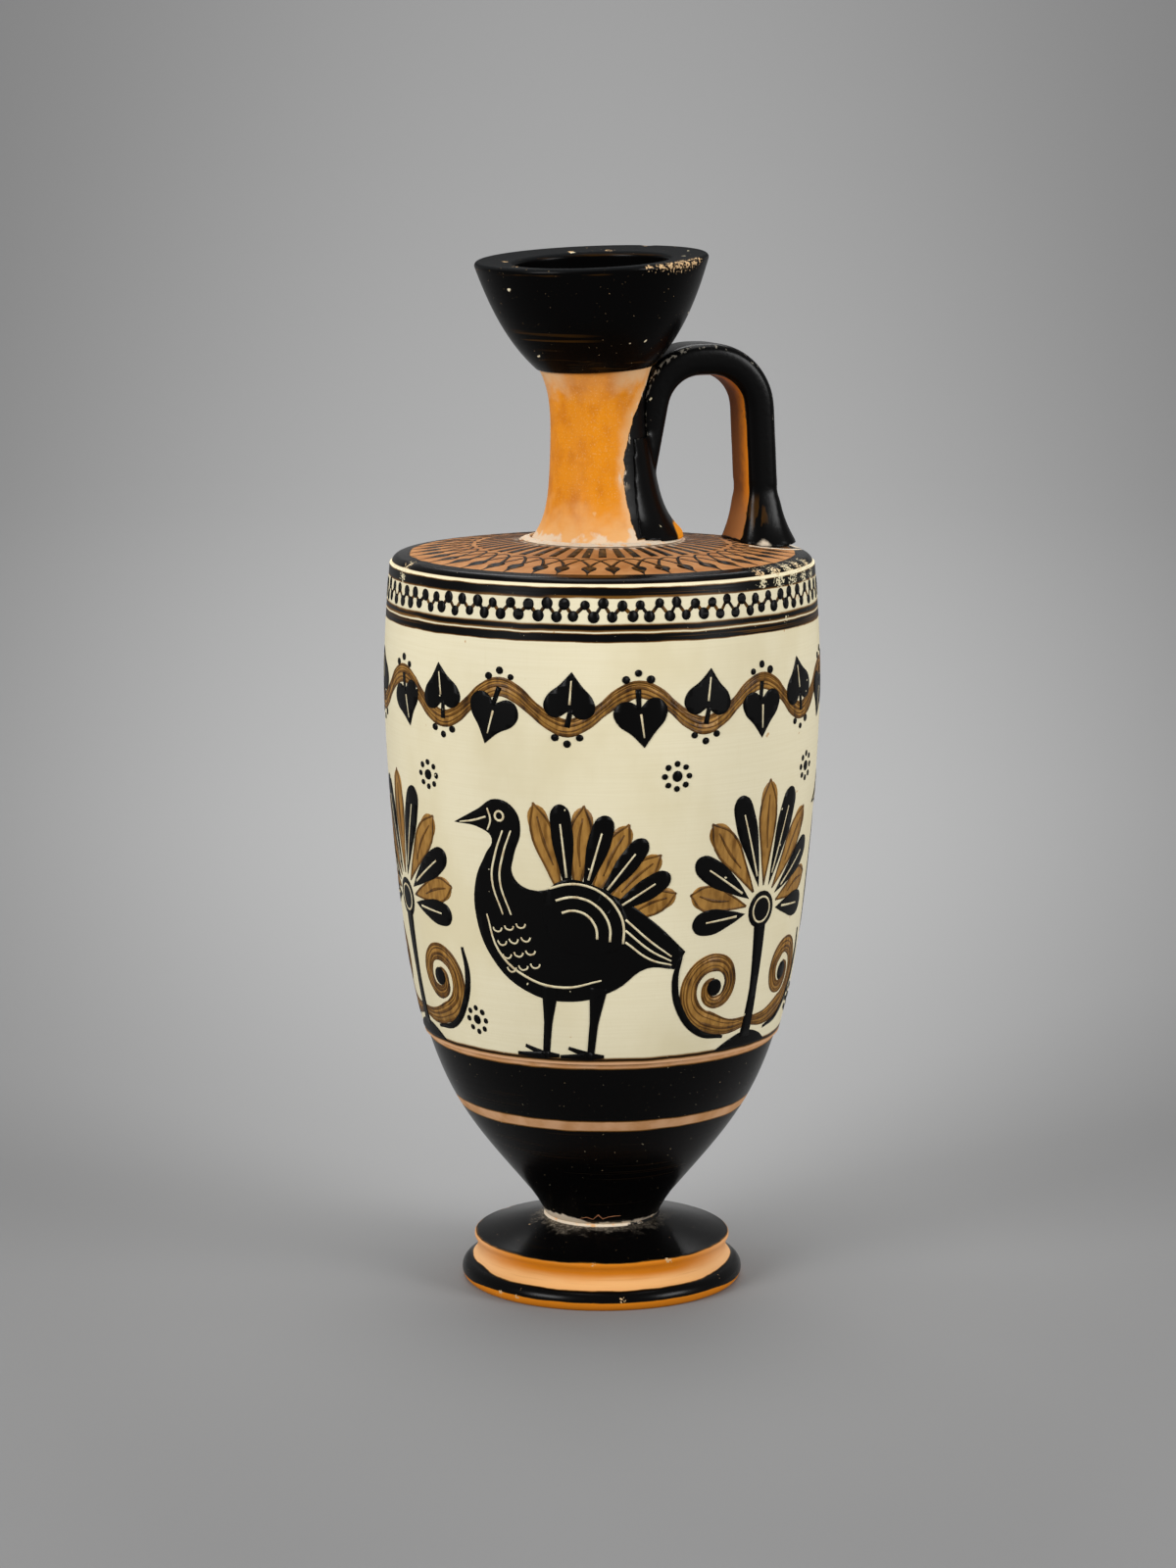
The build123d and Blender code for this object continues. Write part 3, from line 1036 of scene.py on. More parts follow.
# %% Slip finish
slip_cover_reach = (4.0 * mm, 6.0 * mm)
crumb_size = 1.4 * mm
crumb_depth = 0.12 * mm


def make_slip_finish(name, covered_side):
    """Pale slip, rough and uneven, with clay showing through and gloss over it toward one side."""
    material, shader, spot = start_finish(name, roughness=0.75, shine=0.2)
    patch = level(noise(spot, 1.3 * mm, detail=5.0), 0.54, 0.7)
    colour = blend(patch, pale_slip, neck_pale)
    crumbs = level(noise(spot, 0.5 * mm, detail=4.0), 0.6, 0.72)
    colour = blend(crumbs, colour, neck_pale)
    covered = level(dot(spot, covered_side) + sway(spot, 1.6 * mm) * (16 * mm), *slip_cover_reach)
    colour = blend(covered, colour, gloss_black)
    dress(shader, colour, relief=noise(spot, 0.3 * mm, detail=5.0), depth=0.12 * mm)
    return material


rough_slip = make_slip_finish("rough_slip", Vector((0, 0, 0)))
stem_slip = make_slip_finish("stem_slip", -dry_side)
for ring, finish in ((foot_slip, stem_slip), (neck_slip, rough_slip)):
    crumble = bpy.data.textures.new(ring.name + "_crumble", "CLOUDS")
    crumble.noise_scale = crumb_size
    use_modifier(
        ring, "DISPLACE", texture=crumble, texture_coords="LOCAL", strength=crumb_depth, mid_level=0.45
    )
    ring.data.materials.append(finish)
    print(ring.name, "roughened")

# %% [markdown]
# ## Drawing with a brush
# The painter's work is flat: filled shapes, brush strokes and scratched lines. It could be a pattern of
# nodes, but a drawing is easier to make as curves on a flat sheet, in millimetres, with the sheet's
# width going round the wall. Filled curves become faces, and a stroke is a curve with a flat nib whose
# width follows the pressure.

# %% Open a sheet
layer_lifts = {"shapes": 0.0, "strokes": 0.004, "over": 0.008, "top": 0.012}
curve_steps = 5


def open_nib(name):
    """A flat nib, one millimetre wide, that gives strokes their width."""
    bpy.ops.object.select_all(action="DESELECT")
    bpy.ops.curve.primitive_bezier_curve_add()
    nib = bpy.context.object
    nib.name = name + "_nib"
    for end, side in zip(nib.data.splines[0].bezier_points, (-0.5, 0.5)):
        end.handle_left_type = "VECTOR"
        end.handle_right_type = "VECTOR"
        end.co = (side, 0, 0)
    nib.data.resolution_u = 1
    return nib


def open_sheet(name):
    """Flat curves to draw on: three for filled shapes, one over the other, and one for strokes."""
    sheet = {"name": name, "nib": open_nib(name)}
    for layer in layer_lifts:
        bpy.ops.curve.primitive_bezier_curve_add()
        drawing = bpy.context.object
        drawing.name = name + "_" + layer
        drawing.data.splines.clear()
        drawing.data.resolution_u = curve_steps
        drawing.data.dimensions = "2D"
        drawing.data.fill_mode = "FRONT"
        sheet[layer] = drawing
    strokes = sheet["strokes"].data
    strokes.dimensions = "3D"
    strokes.fill_mode = "FULL"
    strokes.twist_mode = "Z_UP"
    strokes.bevel_mode = "OBJECT"
    strokes.bevel_object = sheet["nib"]
    return sheet


print("layers of a sheet:", list(layer_lifts))

# %% Place a motif
def put(points, at=(0, 0), turn=0.0, mirror=1, size=1.0):
    """Points of a motif, sized, mirrored, turned by degrees from upright, and set at a place."""
    angle = math.radians(turn)
    placed = []
    for x, y in points:
        across = mirror * size * x
        rise = size * y
        placed.append((
            at[0] + across * math.cos(angle) - rise * math.sin(angle),
            at[1] + across * math.sin(angle) + rise * math.cos(angle),
        ))
    return placed


print("a point put at 10, turned by 90:", [round(part) for part in put([(0, 5)], (10, 0), 90)[0]])

# %% Shapes and strokes
hand = random.Random(11)
brush_shake = 0.08


def add_line(drawing, points, closed, corners, widths, shake):
    """One smooth line through points, with sharp corners where asked."""
    line = drawing.data.splines.new("BEZIER")
    line.use_cyclic_u = closed
    line.bezier_points.add(len(points) - 1)
    for number, (x, y) in enumerate(points):
        point = line.bezier_points[number]
        kind = "VECTOR" if number in corners else "AUTO"
        point.handle_left_type = kind
        point.handle_right_type = kind
        point.co = (x + hand.uniform(-shake, shake), y + hand.uniform(-shake, shake), 0)
        point.radius = widths[number] if widths else 1.0


def shape(sheet, points, corners=(), shake=brush_shake, layer="shapes"):
    """A filled shape. Shapes of one layer don't overlap, as a second fill would clear the first."""
    add_line(sheet[layer], points, True, corners, None, shake)


def stroke(sheet, points, widths, shake=brush_shake, corners=()):
    """A brush stroke, with its width at each point."""
    add_line(sheet["strokes"], points, False, corners, widths, shake)


def dab(sheet, at, radius, tall=1.0):
    """A touch of the brush: a round spot, a little uneven."""
    ring = [(0, tall * radius), (-radius, 0), (0, -tall * radius), (radius, 0)]
    shape(sheet, put(ring, at, hand.uniform(-20, 20)), shake=brush_shake * radius)


print("the brush shakes by", brush_shake, "mm")

# %% [markdown]
# ## From a sheet to paint
# A finished sheet is cut into narrow strips, so that it can bend, and each of its points is laid on the
# jar by a ray. A Shrinkwrap modifier could do that, but rays toward the axis keep the drawing's widths
# round the wall. A little thickness then gives the paint a body of its own.

# %% Flatten a sheet
merge_on_sheet = 0.003


def flatten(drawing, rise):
    """A flat curve made a mesh and raised a little, or nothing if it is empty."""
    if not drawing.data.splines:
        bpy.data.objects.remove(drawing)
        return None
    pick(drawing)
    bpy.ops.object.convert(target="MESH")
    flat = bpy.context.object
    for point in flat.data.vertices:
        point.co.z = rise
    return flat


def one_piece(sheet):
    """The layers of a sheet as one flat mesh."""
    layers = [flatten(sheet[layer], rise) for layer, rise in layer_lifts.items()]
    layers = [layer for layer in layers if layer]
    bpy.data.objects.remove(sheet["nib"])
    pick(*layers)
    if len(layers) > 1:
        bpy.ops.object.join()
    paint = bpy.context.object
    paint.name = sheet["name"]
    edit(paint)
    bpy.ops.mesh.remove_doubles(threshold=merge_on_sheet)
    bpy.ops.object.mode_set(mode="OBJECT")
    return paint


print("points of a sheet merge within", merge_on_sheet, "mm")

# %% Cut a sheet into strips
wall_strips = (1.4, 3.0)


def cut_strips(piece, across, up):
    """Slice a flat drawing into strips, so that it can follow the wall."""
    edit(piece)
    spots = [point.co.copy() for point in piece.data.vertices]
    for axis, step in ((0, across), (1, up)):
        low = min(spot[axis] for spot in spots)
        high = max(spot[axis] for spot in spots)
        normal = [0, 0, 0]
        normal[axis] = 1
        for number in range(1, int((high - low) / step) + 1):
            place = [0, 0, 0]
            place[axis] = low + number * step
            bpy.ops.mesh.select_all(action="SELECT")
            bpy.ops.mesh.bisect(plane_co=place, plane_no=normal)
    bpy.ops.object.mode_set(mode="OBJECT")


print("strips on the wall:", wall_strips, "mm")

# %% Lay a sheet on the jar
wall_radius = 34.5
outside_wall = 60 * mm
over_shoulder = 200 * mm
paint_body = 0.02 * mm
coat_lifts = (0.035 * mm, 0.06 * mm, 0.085 * mm, 0.115 * mm)


def on_wall(spot):
    """Where a point of the sheet starts outside the wall, and its way to the axis."""
    angle = front_angle + spot.x / wall_radius
    outward = Vector((math.cos(angle), math.sin(angle), 0))
    return outward * outside_wall + Vector((0, 0, spot.y * mm)), -outward


def on_shoulder(spot):
    """Where a point of a plan starts above the shoulder, and its way down."""
    return Vector((spot.x * mm, spot.y * mm, over_shoulder)), Vector((0, 0, -1))


def lay(sheet, ground, way_to_ground, lift, finish, strips):
    """Make one paint layer of a sheet: flat, sliced, laid on the ground and given a little body."""
    paint = one_piece(sheet)
    cut_strips(paint, *strips)
    for point in paint.data.vertices:
        start, way = way_to_ground(point.co)
        place, normal = ground.ray_cast(start, way)[1:3]
        point.co = place + normal * (lift + point.co.z * mm)
    use_modifier(paint, "SOLIDIFY", thickness=paint_body, offset=-1.0)
    bpy.ops.object.shade_smooth()
    paint.data.materials.clear()
    paint.data.materials.append(finish)
    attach(paint, "root")
    print(paint.name, len(paint.data.polygons), "faces")


print("a sheet is", round(math.tau * wall_radius, 1), "mm round")

# %% [markdown]
# ## Paint for the drawing
# The same slip makes black where it is thick and golden brown where it is thinned. Both are uneven, and
# small flakes have come away from them. One flat colour each would look printed, so a slow noise drives
# the amount.

# %% Brush finishes
wash_light = (0.40, 0.205, 0.045, 1)
pooled_brown = (0.030, 0.012, 0.003, 1)
scratch_dull = (0.55, 0.42, 0.24, 1)


def make_brush_gloss(name, low, high, ground, flakes):
    """Brushed gloss whose amount drifts between low and high, with small flakes lost to the ground."""
    material, shader, spot = start_finish(name, roughness=0.38, shine=gloss_shine)
    amount = level(noise(spot, 1.6 * mm, detail=4.0), 0.3, 0.62, low, high)
    lost = specks(spot, 1.9 * mm, share=flakes, fill=0.12)
    colour = blend(lost, painted(amount, ground), ground)
    dress(shader, colour, relief=noise(spot, 0.6 * mm), depth=0.01 * mm)
    return material


def make_wash(name, light, dark):
    """Thinned gloss between two tones, with the pull of the brush showing."""
    material, shader, spot = start_finish(name, roughness=0.42, shine=0.2)
    pull = noise(spot, 0.5 * mm, (2, 2, 9))
    pool = noise(spot, 4.0 * mm)
    share = level(pull, 0.3, 0.72) * level(pool, 0.3, 0.6, 0.4, 1.0)
    dress(shader, blend(share, light, dark), relief=pull, depth=0.01 * mm)
    return material


def make_scratch():
    """The ground that a scratched line lays bare."""
    material, shader, spot = start_finish("scratched_line", roughness=0.6, shine=0.2)
    dress(shader, blend(level(noise(spot, 1.2 * mm), 0.4, 0.75), cream_shade, scratch_dull))
    return material


black_brush = make_brush_gloss("black_brush", 0.84, 1.0, cream_shade, 0.12)
link_brush = make_brush_gloss("link_brush", 0.5, 0.82, cream_shade, 0.0)
shoulder_brush = make_brush_gloss("shoulder_brush", 0.62, 1.0, shoulder_clay, 0.1)
golden_wash = make_wash("golden_wash", wash_light, golden_brown)
pooled_wash = make_wash("pooled_wash", golden_brown, pooled_brown)
scratched_line = make_scratch()

# %% [markdown]
# ## The shoulder's ornament
# Round the neck runs a ring of short tongues, and outside it a chain of lotus buds, linked by thin arcs
# that skip one bud each. An array of one copied motif would repeat exactly, so each is drawn anew in a
# loop that turns it round the axis, by a hand that is never quite even.

# %% Tongues
tongue_count = 46
tongue_radii = (13.6, 17.0, 20.5)
tongue_widths = (0.95, 1.2, 1.3)
uneven_turn = 0.012


def ring_place(radius, angle):
    """A place on the shoulder's plan."""
    return (radius * math.cos(angle), radius * math.sin(angle))


shoulder_sheet = open_sheet("shoulder_ornament")
for number in range(tongue_count):
    angle = math.tau * number / tongue_count + hand.uniform(-uneven_turn, uneven_turn)
    root, middle, tip = tongue_radii
    tip = tip + hand.uniform(-0.3, 0.3)
    path = [ring_place(radius, angle) for radius in (root, middle, tip)]
    stroke(shoulder_sheet, path, tongue_widths, 0.04)
print("tongues:", tongue_count)

# %% Buds and arcs
bud_count = 44
bud_step = math.tau / bud_count
half_bud = [(-0.95, 26.8), (-1.15, 28.1), (-0.42, 29.8)]
bud = [(0, 26.0)] + half_bud + [(0, 31.9)] + [(-x, y) for x, y in reversed(half_bud)]
arc_outer = 26.4
arc_depth = 5.0
arc_shares = (0.0, 0.12, 0.3, 0.5, 0.7, 0.88, 1.0)
arc_widths = (0.6, 0.5, 0.4, 0.36, 0.4, 0.5, 0.6)
shoulder_strips = (2.0, 2.0)
for number in range(bud_count):
    angle = number * bud_step + hand.uniform(-uneven_turn, uneven_turn)
    shape(shoulder_sheet, put(bud, (0, 0), math.degrees(angle) - 90), (0, 4), 0.06)
    arc = []
    for share in arc_shares:
        radius = arc_outer - arc_depth * math.sin(math.pi * share) ** 0.75
        arc.append(ring_place(radius, angle + 2 * bud_step * share))
    stroke(shoulder_sheet, arc, arc_widths, 0.03)
lay(shoulder_sheet, jar_body, on_shoulder, coat_lifts[0], shoulder_brush, shoulder_strips)

# %% [markdown]
# ## Slip and a crack
# When the strap was pressed on, slip squeezed out beside its foot and was left there. Above the foot of
# the jar a hairline runs through the gloss. Both are only marks on a surface, so they are strokes of the
# same brush, laid like the ornament.

# %% Slip at the foot of the strap
strap_slip_lines = (
    ((22.6, -8.0), (24.6, -8.7), (27.0, -8.9), (30.0, -8.3), (32.2, -6.6)),
    ((25.0, 8.1), (28.0, 8.2), (30.8, 7.7)),
    ((32.7, -4.2), (33.0, -1.6), (32.9, 1.2)),
)
slip_strips = (1.0, 1.0)
slip_lift = 0.05 * mm
strap_slip_sheet = open_sheet("strap_slip")
for line in strap_slip_lines:
    stroke(strap_slip_sheet, line, [hand.uniform(0.7, 1.6) for point in line], 0.12)
lay(strap_slip_sheet, jar_body, on_shoulder, slip_lift, rough_slip, slip_strips)

# %% A hairline above the foot
crack = (
    (-13.0, 11.9), (-9.0, 12.2), (-5.0, 11.9), (-2.0, 12.7),
    (0.5, 12.0), (3.5, 12.3), (7.0, 12.5), (10.5, 12.6),
)
crack_widths = (0.05, 0.12, 0.1, 0.18, 0.14, 0.1, 0.12, 0.05)
crack_colour = (0.46, 0.19, 0.085, 1)
crack_strips = (3.0, 0.4)
crack_lift = 0.03 * mm
crack_sheet = open_sheet("stem_crack")
crack_clay, crack_shader = start_finish("crack_clay", roughness=0.7, shine=0.2)[:2]
dress(crack_shader, crack_colour)
stroke(crack_sheet, crack, crack_widths, 0.1, range(1, len(crack) - 1))
lay(crack_sheet, jar_body, on_wall, crack_lift, crack_clay, crack_strips)

# %% [markdown]
# ## The chain of dots
# Under the shoulder two rows of dots are staggered, and a thinned line zigzags between them. Both could
# be one drawing, but the painter laid the line first, thinned, and set the dots over it in black, so the
# two are sheets of their own.

# %% Dots and links
dot_pairs = 74
dot_high = 117.65
dot_low = 115.8
dot_shake = 0.2
link_width = 0.9
dot_pitch = math.tau * wall_radius / dot_pairs
dot_sheet = open_sheet("dot_chain")
link_sheet = open_sheet("dot_links")


def shaken():
    """A small slip of the hand, either way."""
    return hand.uniform(-dot_shake, dot_shake)


links = []
for number in range(dot_pairs):
    across = (number - 0.5 * dot_pairs) * dot_pitch + shaken()
    high = (across, dot_high + shaken())
    low = (across + 0.5 * dot_pitch + shaken(), dot_low + shaken())
    dab(dot_sheet, high, hand.uniform(0.7, 0.9), 1.1)
    dab(dot_sheet, low, hand.uniform(0.74, 0.92), 1.05)
    links += [high, low]
stroke(link_sheet, links, [link_width] * len(links), 0.0, range(len(links)))
lay(link_sheet, white_coat, on_wall, coat_lifts[0], link_brush, wall_strips)
lay(dot_sheet, white_coat, on_wall, coat_lifts[1], black_brush, wall_strips)

# %% [markdown]
# ## The frieze
# The wall's picture is a frieze of geese and palmettes under an ivy branch, the stock of such painters.
# It is drawn in four sheets, laid one over the other as a painter works: thinned wash, the streaks where
# it pooled, black, and the lines scratched through the black. First come the parts that the motifs
# share.

# %% Petals and rosettes
ground_line = 43.7
frieze = {name: open_sheet("frieze_" + name) for name in ("wash", "pooled", "black", "lines")}


def petal(sheet, at, turn, inner, length, half, layer="shapes"):
    """A drop-shaped petal that starts at a distance from its centre."""
    side = [(-0.55 * half, 0.3), (-half, 0.74), (-0.45 * half, 0.96)]
    outline = side + [(-x, share) for x, share in reversed(side)]
    outline = [(0, inner)] + [(x, inner + share * length) for x, share in outline]
    shape(sheet, put(outline, at, turn), (0,), layer=layer)


def wash_petal(at, turn, inner, length, half):
    """A petal of thinned gloss, with a dark outline and a streak along it."""
    petal(frieze["wash"], at, turn, inner, length, half)
    side = [
        (0, inner),
        (0.5 * half, inner + 0.3 * length),
        (0.94 * half, inner + 0.74 * length),
        (0, inner + length),
    ]
    for mirror in (-1, 1):
        stroke(frieze["pooled"], put(side, at, turn, mirror), (0.3, 0.34, 0.4, 0.3), 0.06)
    streak = [(0.2, inner + 0.35 * length), (-0.2, inner + 0.6 * length), (0.1, inner + 0.86 * length)]
    stroke(frieze["pooled"], put(streak, at, turn), (0.2, 0.5, 0.24), 0.1)


def rosette(at, radius):
    """A ring of dots round a dot."""
    dab(frieze["black"], at, 0.42 * radius)
    for number in range(8):
        spoke = put([(0, radius)], at, 45 * number)[0]
        dab(frieze["black"], spoke, 0.24 * radius)


print("sheets of the frieze:", list(frieze))

# %% Wash strokes and curls
wash_streaks = ((-0.45, 0.42), (-0.2, 0.22), (0.1, 0.4), (0.3, 0.18), (0.46, 0.36))


def to_one_side(points, widths, share):
    """A line beside a stroke, at a share of the stroke's width."""
    line = []
    for number, (x, y) in enumerate(points):
        before = Vector(points[max(number - 1, 0)])
        after = Vector(points[min(number + 1, len(points) - 1)])
        way = (after - before).normalized()
        line.append((x - way.y * share * widths[number], y + way.x * share * widths[number]))
    return line


def wash_stroke(points, widths):
    """A stroke of thinned gloss, with darker streaks where it pooled along the brush's hairs."""
    stroke(frieze["wash"], points, widths)
    for share, thick in wash_streaks:
        streak = [thick * hand.uniform(0.5, 1.5) for point in points]
        stroke(frieze["pooled"], to_one_side(points, widths, share), streak, 0.1)


def curl(centre, start, end, first, turns, steps):
    """Points of a spiral about a centre, from one radius and angle in degrees inward to another."""
    points = []
    for number in range(steps + 1):
        share = number / steps
        angle = math.radians(first + 360 * turns * share)
        radius = start + (end - start) * share
        points.append((centre[0] + radius * math.cos(angle), centre[1] + radius * math.sin(angle)))
    return points


print("streaks in a wash stroke:", len(wash_streaks))

# %% [markdown]
# ## The ivy branch
# The branch winds round the wall above the picture in even waves, with a leaf in each bend and berries
# outside it. It could be one repeated tile, but each leaf turns a little, as a brush sets it down.

# %% Ivy
ivy_waves = 10
ivy_steps = 8
ivy_height = 57.6
ivy_swing = 3.0
ivy_leaf_size = 7.6
berry_places = ((-1.9, 1.6), (0.0, 2.6), (1.9, 1.6))


def ivy_leaf(at, turn, size):
    """A heart-shaped leaf on a stalk, with its tip away from the stalk and a scratched rib."""
    half = [(-0.28, 0.2), (-0.52, 0.36), (-0.50, 0.62), (-0.22, 0.92)]
    outline = [(0, 0.36)] + half + [(0, 1.2)] + [(-x, y) for x, y in reversed(half)]
    shape(frieze["black"], put(outline, at, turn, size=size), (0, 5))
    stroke(frieze["black"], put([(0, 0), (0.04, 0.4)], at, turn, size=size), (0.9, 0.7))
    stroke(frieze["lines"], put([(0, 0.5), (0, 1.0)], at, turn, size=size), (0.34, 0.22))


wave = math.tau * wall_radius / ivy_waves
branch = []
branch_widths = []
for number in range(ivy_steps * ivy_waves + 1):
    swing = math.sin(math.tau * number / ivy_steps)
    across = wave * (number / ivy_steps - 0.5 * ivy_waves)
    branch.append((across, ground_line + ivy_height + ivy_swing * swing))
    branch_widths.append(1.9 + 0.8 * abs(swing))
wash_stroke(branch, branch_widths)
for bend in range(2 * ivy_waves):
    side = -1 if bend % 2 else 1
    across = wave * (0.25 + 0.5 * bend - 0.5 * ivy_waves)
    middle = ground_line + ivy_height + side * ivy_swing
    leaf_turn = (180 if side > 0 else 0) + hand.uniform(-16, 16)
    ivy_leaf((across, middle), leaf_turn, ivy_leaf_size + hand.uniform(-0.4, 0.4))
    for shift, rise in berry_places:
        dab(frieze["black"], (across + shift, middle + side * rise), hand.uniform(0.5, 0.66))
print("ivy leaves:", 2 * ivy_waves)

# %% [markdown]
# ## The palmette
# The palmette fans out over a pair of broad scrolls, with petals that are black and golden in turn. The
# scrolls are mirrored, so one side is drawn and set down twice.

# %% Palmette
petal_count = 11
petal_spread = 188
petal_start = 4.0
petal_half = 2.1
scroll_centre = (9.4, 11.2)


def draw_scroll(root, side):
    """One broad scroll of wash, with a black rim beside it and a spot in its eye."""
    scroll = [(0.4, 4.2), (5.4, 4.0), (10.4, 5.4)]
    scroll += curl(scroll_centre, 5.7, 1.0, -66, 1.4, 16)
    widths = [1.2, 2.6, 3.4] + [3.4 - 0.14 * number for number in range(17)]
    wash_stroke(put(scroll, root, 0, side), widths)
    rim = [(6.0, 2.3), (11.6, 3.6), (15.6, 7.6), (17.2, 12.8), (16.4, 17.2)]
    stroke(frieze["black"], put(rim, root, 0, side), (0.5, 1.1, 1.3, 1.2, 0.6))
    dab(frieze["black"], put([scroll_centre], root, 0, side)[0], 1.5)


def draw_palmette(across):
    """A palmette on a short stem, over a pair of broad scrolls."""
    root = (across, ground_line)
    mound = [(-7.6, 0), (-4.2, 1.7), (0, 2.5), (4.2, 1.7), (7.6, 0)]
    shape(frieze["black"], put(mound, root), (0, 4))
    stroke(frieze["black"], put([(0, 1.6), (0.25, 10), (0, 21)], root), (2.8, 2.0, 3.0))
    for side in (-1, 1):
        draw_scroll(root, side)
    heart = put([(0, 23.0)], root)[0]
    dab(frieze["black"], heart, 3.2)
    stroke(frieze["lines"], put(curl((0, 0), 2.1, 2.1, 90, 1.0, 12), heart), [0.34] * 13, 0.03)
    for number in range(petal_count):
        turn = petal_spread * (number / (petal_count - 1) - 0.5)
        length = 10.8 + 6.6 * math.cos(math.radians(0.9 * turn)) ** 2
        if number % 2:
            wash_petal(heart, turn, petal_start, length, petal_half)
        else:
            petal(frieze["black"], heart, turn, petal_start, length, petal_half)
            rib = [(0, 6.0), (0, 3.0 + 0.84 * length)]
            stroke(frieze["lines"], put(rib, heart, turn), (0.38, 0.26))


print("petals of a palmette:", petal_count)

# %% [markdown]
# ## The goose
# The goose is one heavy black shape, with legs, a raised wing of black and golden feathers, and
# scratched lines for all that is inside it. The outline could be traced as many short lines, but a
# smooth curve through a few points keeps the swing of a brush.

# %% Goose: body, legs and wing
goose_size = 0.94
goose_outline = [
    (-17.6, 40.4), (-12.4, 43.2), (-8.8, 45.2), (-5.4, 43.8), (-4.4, 40.2), (-5.8, 35.8), (-6.2, 32.4),
    (-3.0, 30.0), (4.0, 31.0), (11.4, 29.4), (17.6, 25.2), (24.6, 19.0), (22.8, 16.0), (17.4, 16.4),
    (12.0, 12.8), (4.0, 10.6), (-4.8, 12.0), (-11.2, 17.4), (-14.0, 24.4), (-13.6, 30.8), (-11.2, 35.6),
    (-9.8, 38.4), (-11.8, 39.8),
]
goose_corners = (0, 11, 12)
goose_feet = ((-1.6, 0.6), (7.2, 0.6))
goose_toes = ((-6.0, -0.1), (-4.2, 1.4), (2.6, -0.1))
feather_count = 9
feather_start = 6.0
feather_half = 1.75
wing_shield = [(-2.6, 8.4), (3.6, 8.2), (8.2, 4.4), (9.0, -0.8), (4.0, -3.2), (-2.4, -2.0), (-4.8, 3.2)]


def draw_legs(on_goose):
    """Two thin legs with three toes each."""
    for x, y in goose_feet:
        stroke(frieze["black"], on_goose([(x + 1.6, 13.0), (x + 0.8, 6.4), (x, y)]), (3.0, 1.5, 1.3))
        for reach, rise in goose_toes:
            stroke(frieze["black"], on_goose([(x, y), (x + reach, y + rise)]), (1.2, 0.6))


def draw_wing(wing):
    """A fan of feathers, black and golden in turn, under a black shield with scratched arcs."""
    for number in range(feather_count):
        turn = 16 - 10.6 * number
        length = 16.2 - 0.5 * number
        if number % 2:
            petal(frieze["black"], wing, turn, feather_start, length, feather_half, "over")
            rib = [(0, 9.4), (0, 18.6 - 0.4 * number)]
            stroke(frieze["lines"], put(rib, wing, turn), (0.36, 0.26))
        else:
            wash_petal(wing, turn, feather_start, length, feather_half)
    shape(frieze["black"], put(wing_shield, wing), layer="top")
    for reach in (4.0, 6.2, 8.4):
        arc = [put([(0, reach)], (0, 0), 26 - 21 * step)[0] for step in range(7)]
        stroke(frieze["lines"], put(arc, wing), [0.38] * 7, 0.05)


print("feathers of a wing:", feather_count)

# %% Goose: scratched lines
def scratch_head(on_goose):
    """The eye, the beak's edge and the cheek."""
    stroke(frieze["lines"], on_goose(curl((-8.2, 42.4), 0.8, 0.8, 0, 1.0, 8)), [0.36] * 9, 0.02)
    stroke(frieze["lines"], on_goose([(-16.4, 40.7), (-13.4, 41.2), (-10.8, 42.0)]), (0.2, 0.34, 0.3))
    stroke(frieze["lines"], on_goose([(-10.4, 43.6), (-10.0, 41.6), (-10.6, 39.8)]), (0.26, 0.34, 0.26))


def scratch_body(on_goose):
    """Lines down the neck, the tail's feathers, the edge of the breast and its scales."""
    for shift in (0.0, 1.5):
        neck = [(-6.2 - shift, 40.0), (-7.8 - shift, 35.6), (-8.6 - shift, 31.2), (-6.8 - shift, 25.2)]
        stroke(frieze["lines"], on_goose(neck), (0.26, 0.36, 0.36, 0.26))
    for shift in (0.0, 2.0, 4.0):
        tail = [(13.6, 25.2 - shift), (18.0, 21.2 - 0.8 * shift), (22.0, 18.2 - 0.35 * shift)]
        stroke(frieze["lines"], on_goose(tail), (0.34, 0.34, 0.24))
    breast = [(-11.6, 25.0), (-9.6, 18.8), (-4.6, 14.6), (2.4, 13.0), (9.4, 14.4)]
    stroke(frieze["lines"], on_goose(breast), (0.26, 0.4, 0.4, 0.4, 0.26))
    for row in range(4):
        for step in range(3):
            scale_at = (-9.6 + 2.3 * step + 0.8 * row, 23.0 - 2.3 * row + 0.5 * step)
            scale = curl(scale_at, 0.9, 0.9, 190, 0.45, 5)
            stroke(frieze["lines"], on_goose(scale), [0.28] * 6, 0.03)


def draw_goose(across):
    """A heavy goose with one wing raised."""
    def on_goose(points):
        return put(points, (across, ground_line), size=goose_size)

    shape(frieze["black"], on_goose(goose_outline), goose_corners)
    draw_legs(on_goose)
    draw_wing(on_goose([(4.4, 22.4)])[0])
    scratch_head(on_goose)
    scratch_body(on_goose)


print("a goose is", round(45.2 * goose_size, 1), "mm tall")

# %% Lay the frieze
repeats = 3
repeat_width = math.tau * wall_radius / repeats
goose_place = -9.0
palmette_place = 29.8
rosette_radius = 2.0
rosette_places = ((-31.2, 45.0), (11.6, 46.6), (-24.4, 5.2))
for number in range(repeats):
    shift = (number - 1) * repeat_width
    draw_goose(shift + goose_place)
    draw_palmette(shift + palmette_place)
    for across, rise in rosette_places:
        rosette((shift + across, ground_line + rise), rosette_radius)
lay(frieze["wash"], white_coat, on_wall, coat_lifts[0], golden_wash, wall_strips)
lay(frieze["pooled"], white_coat, on_wall, coat_lifts[1], pooled_wash, wall_strips)
lay(frieze["black"], white_coat, on_wall, coat_lifts[2], black_brush, wall_strips)
lay(frieze["lines"], white_coat, on_wall, coat_lifts[3], scratched_line, wall_strips)

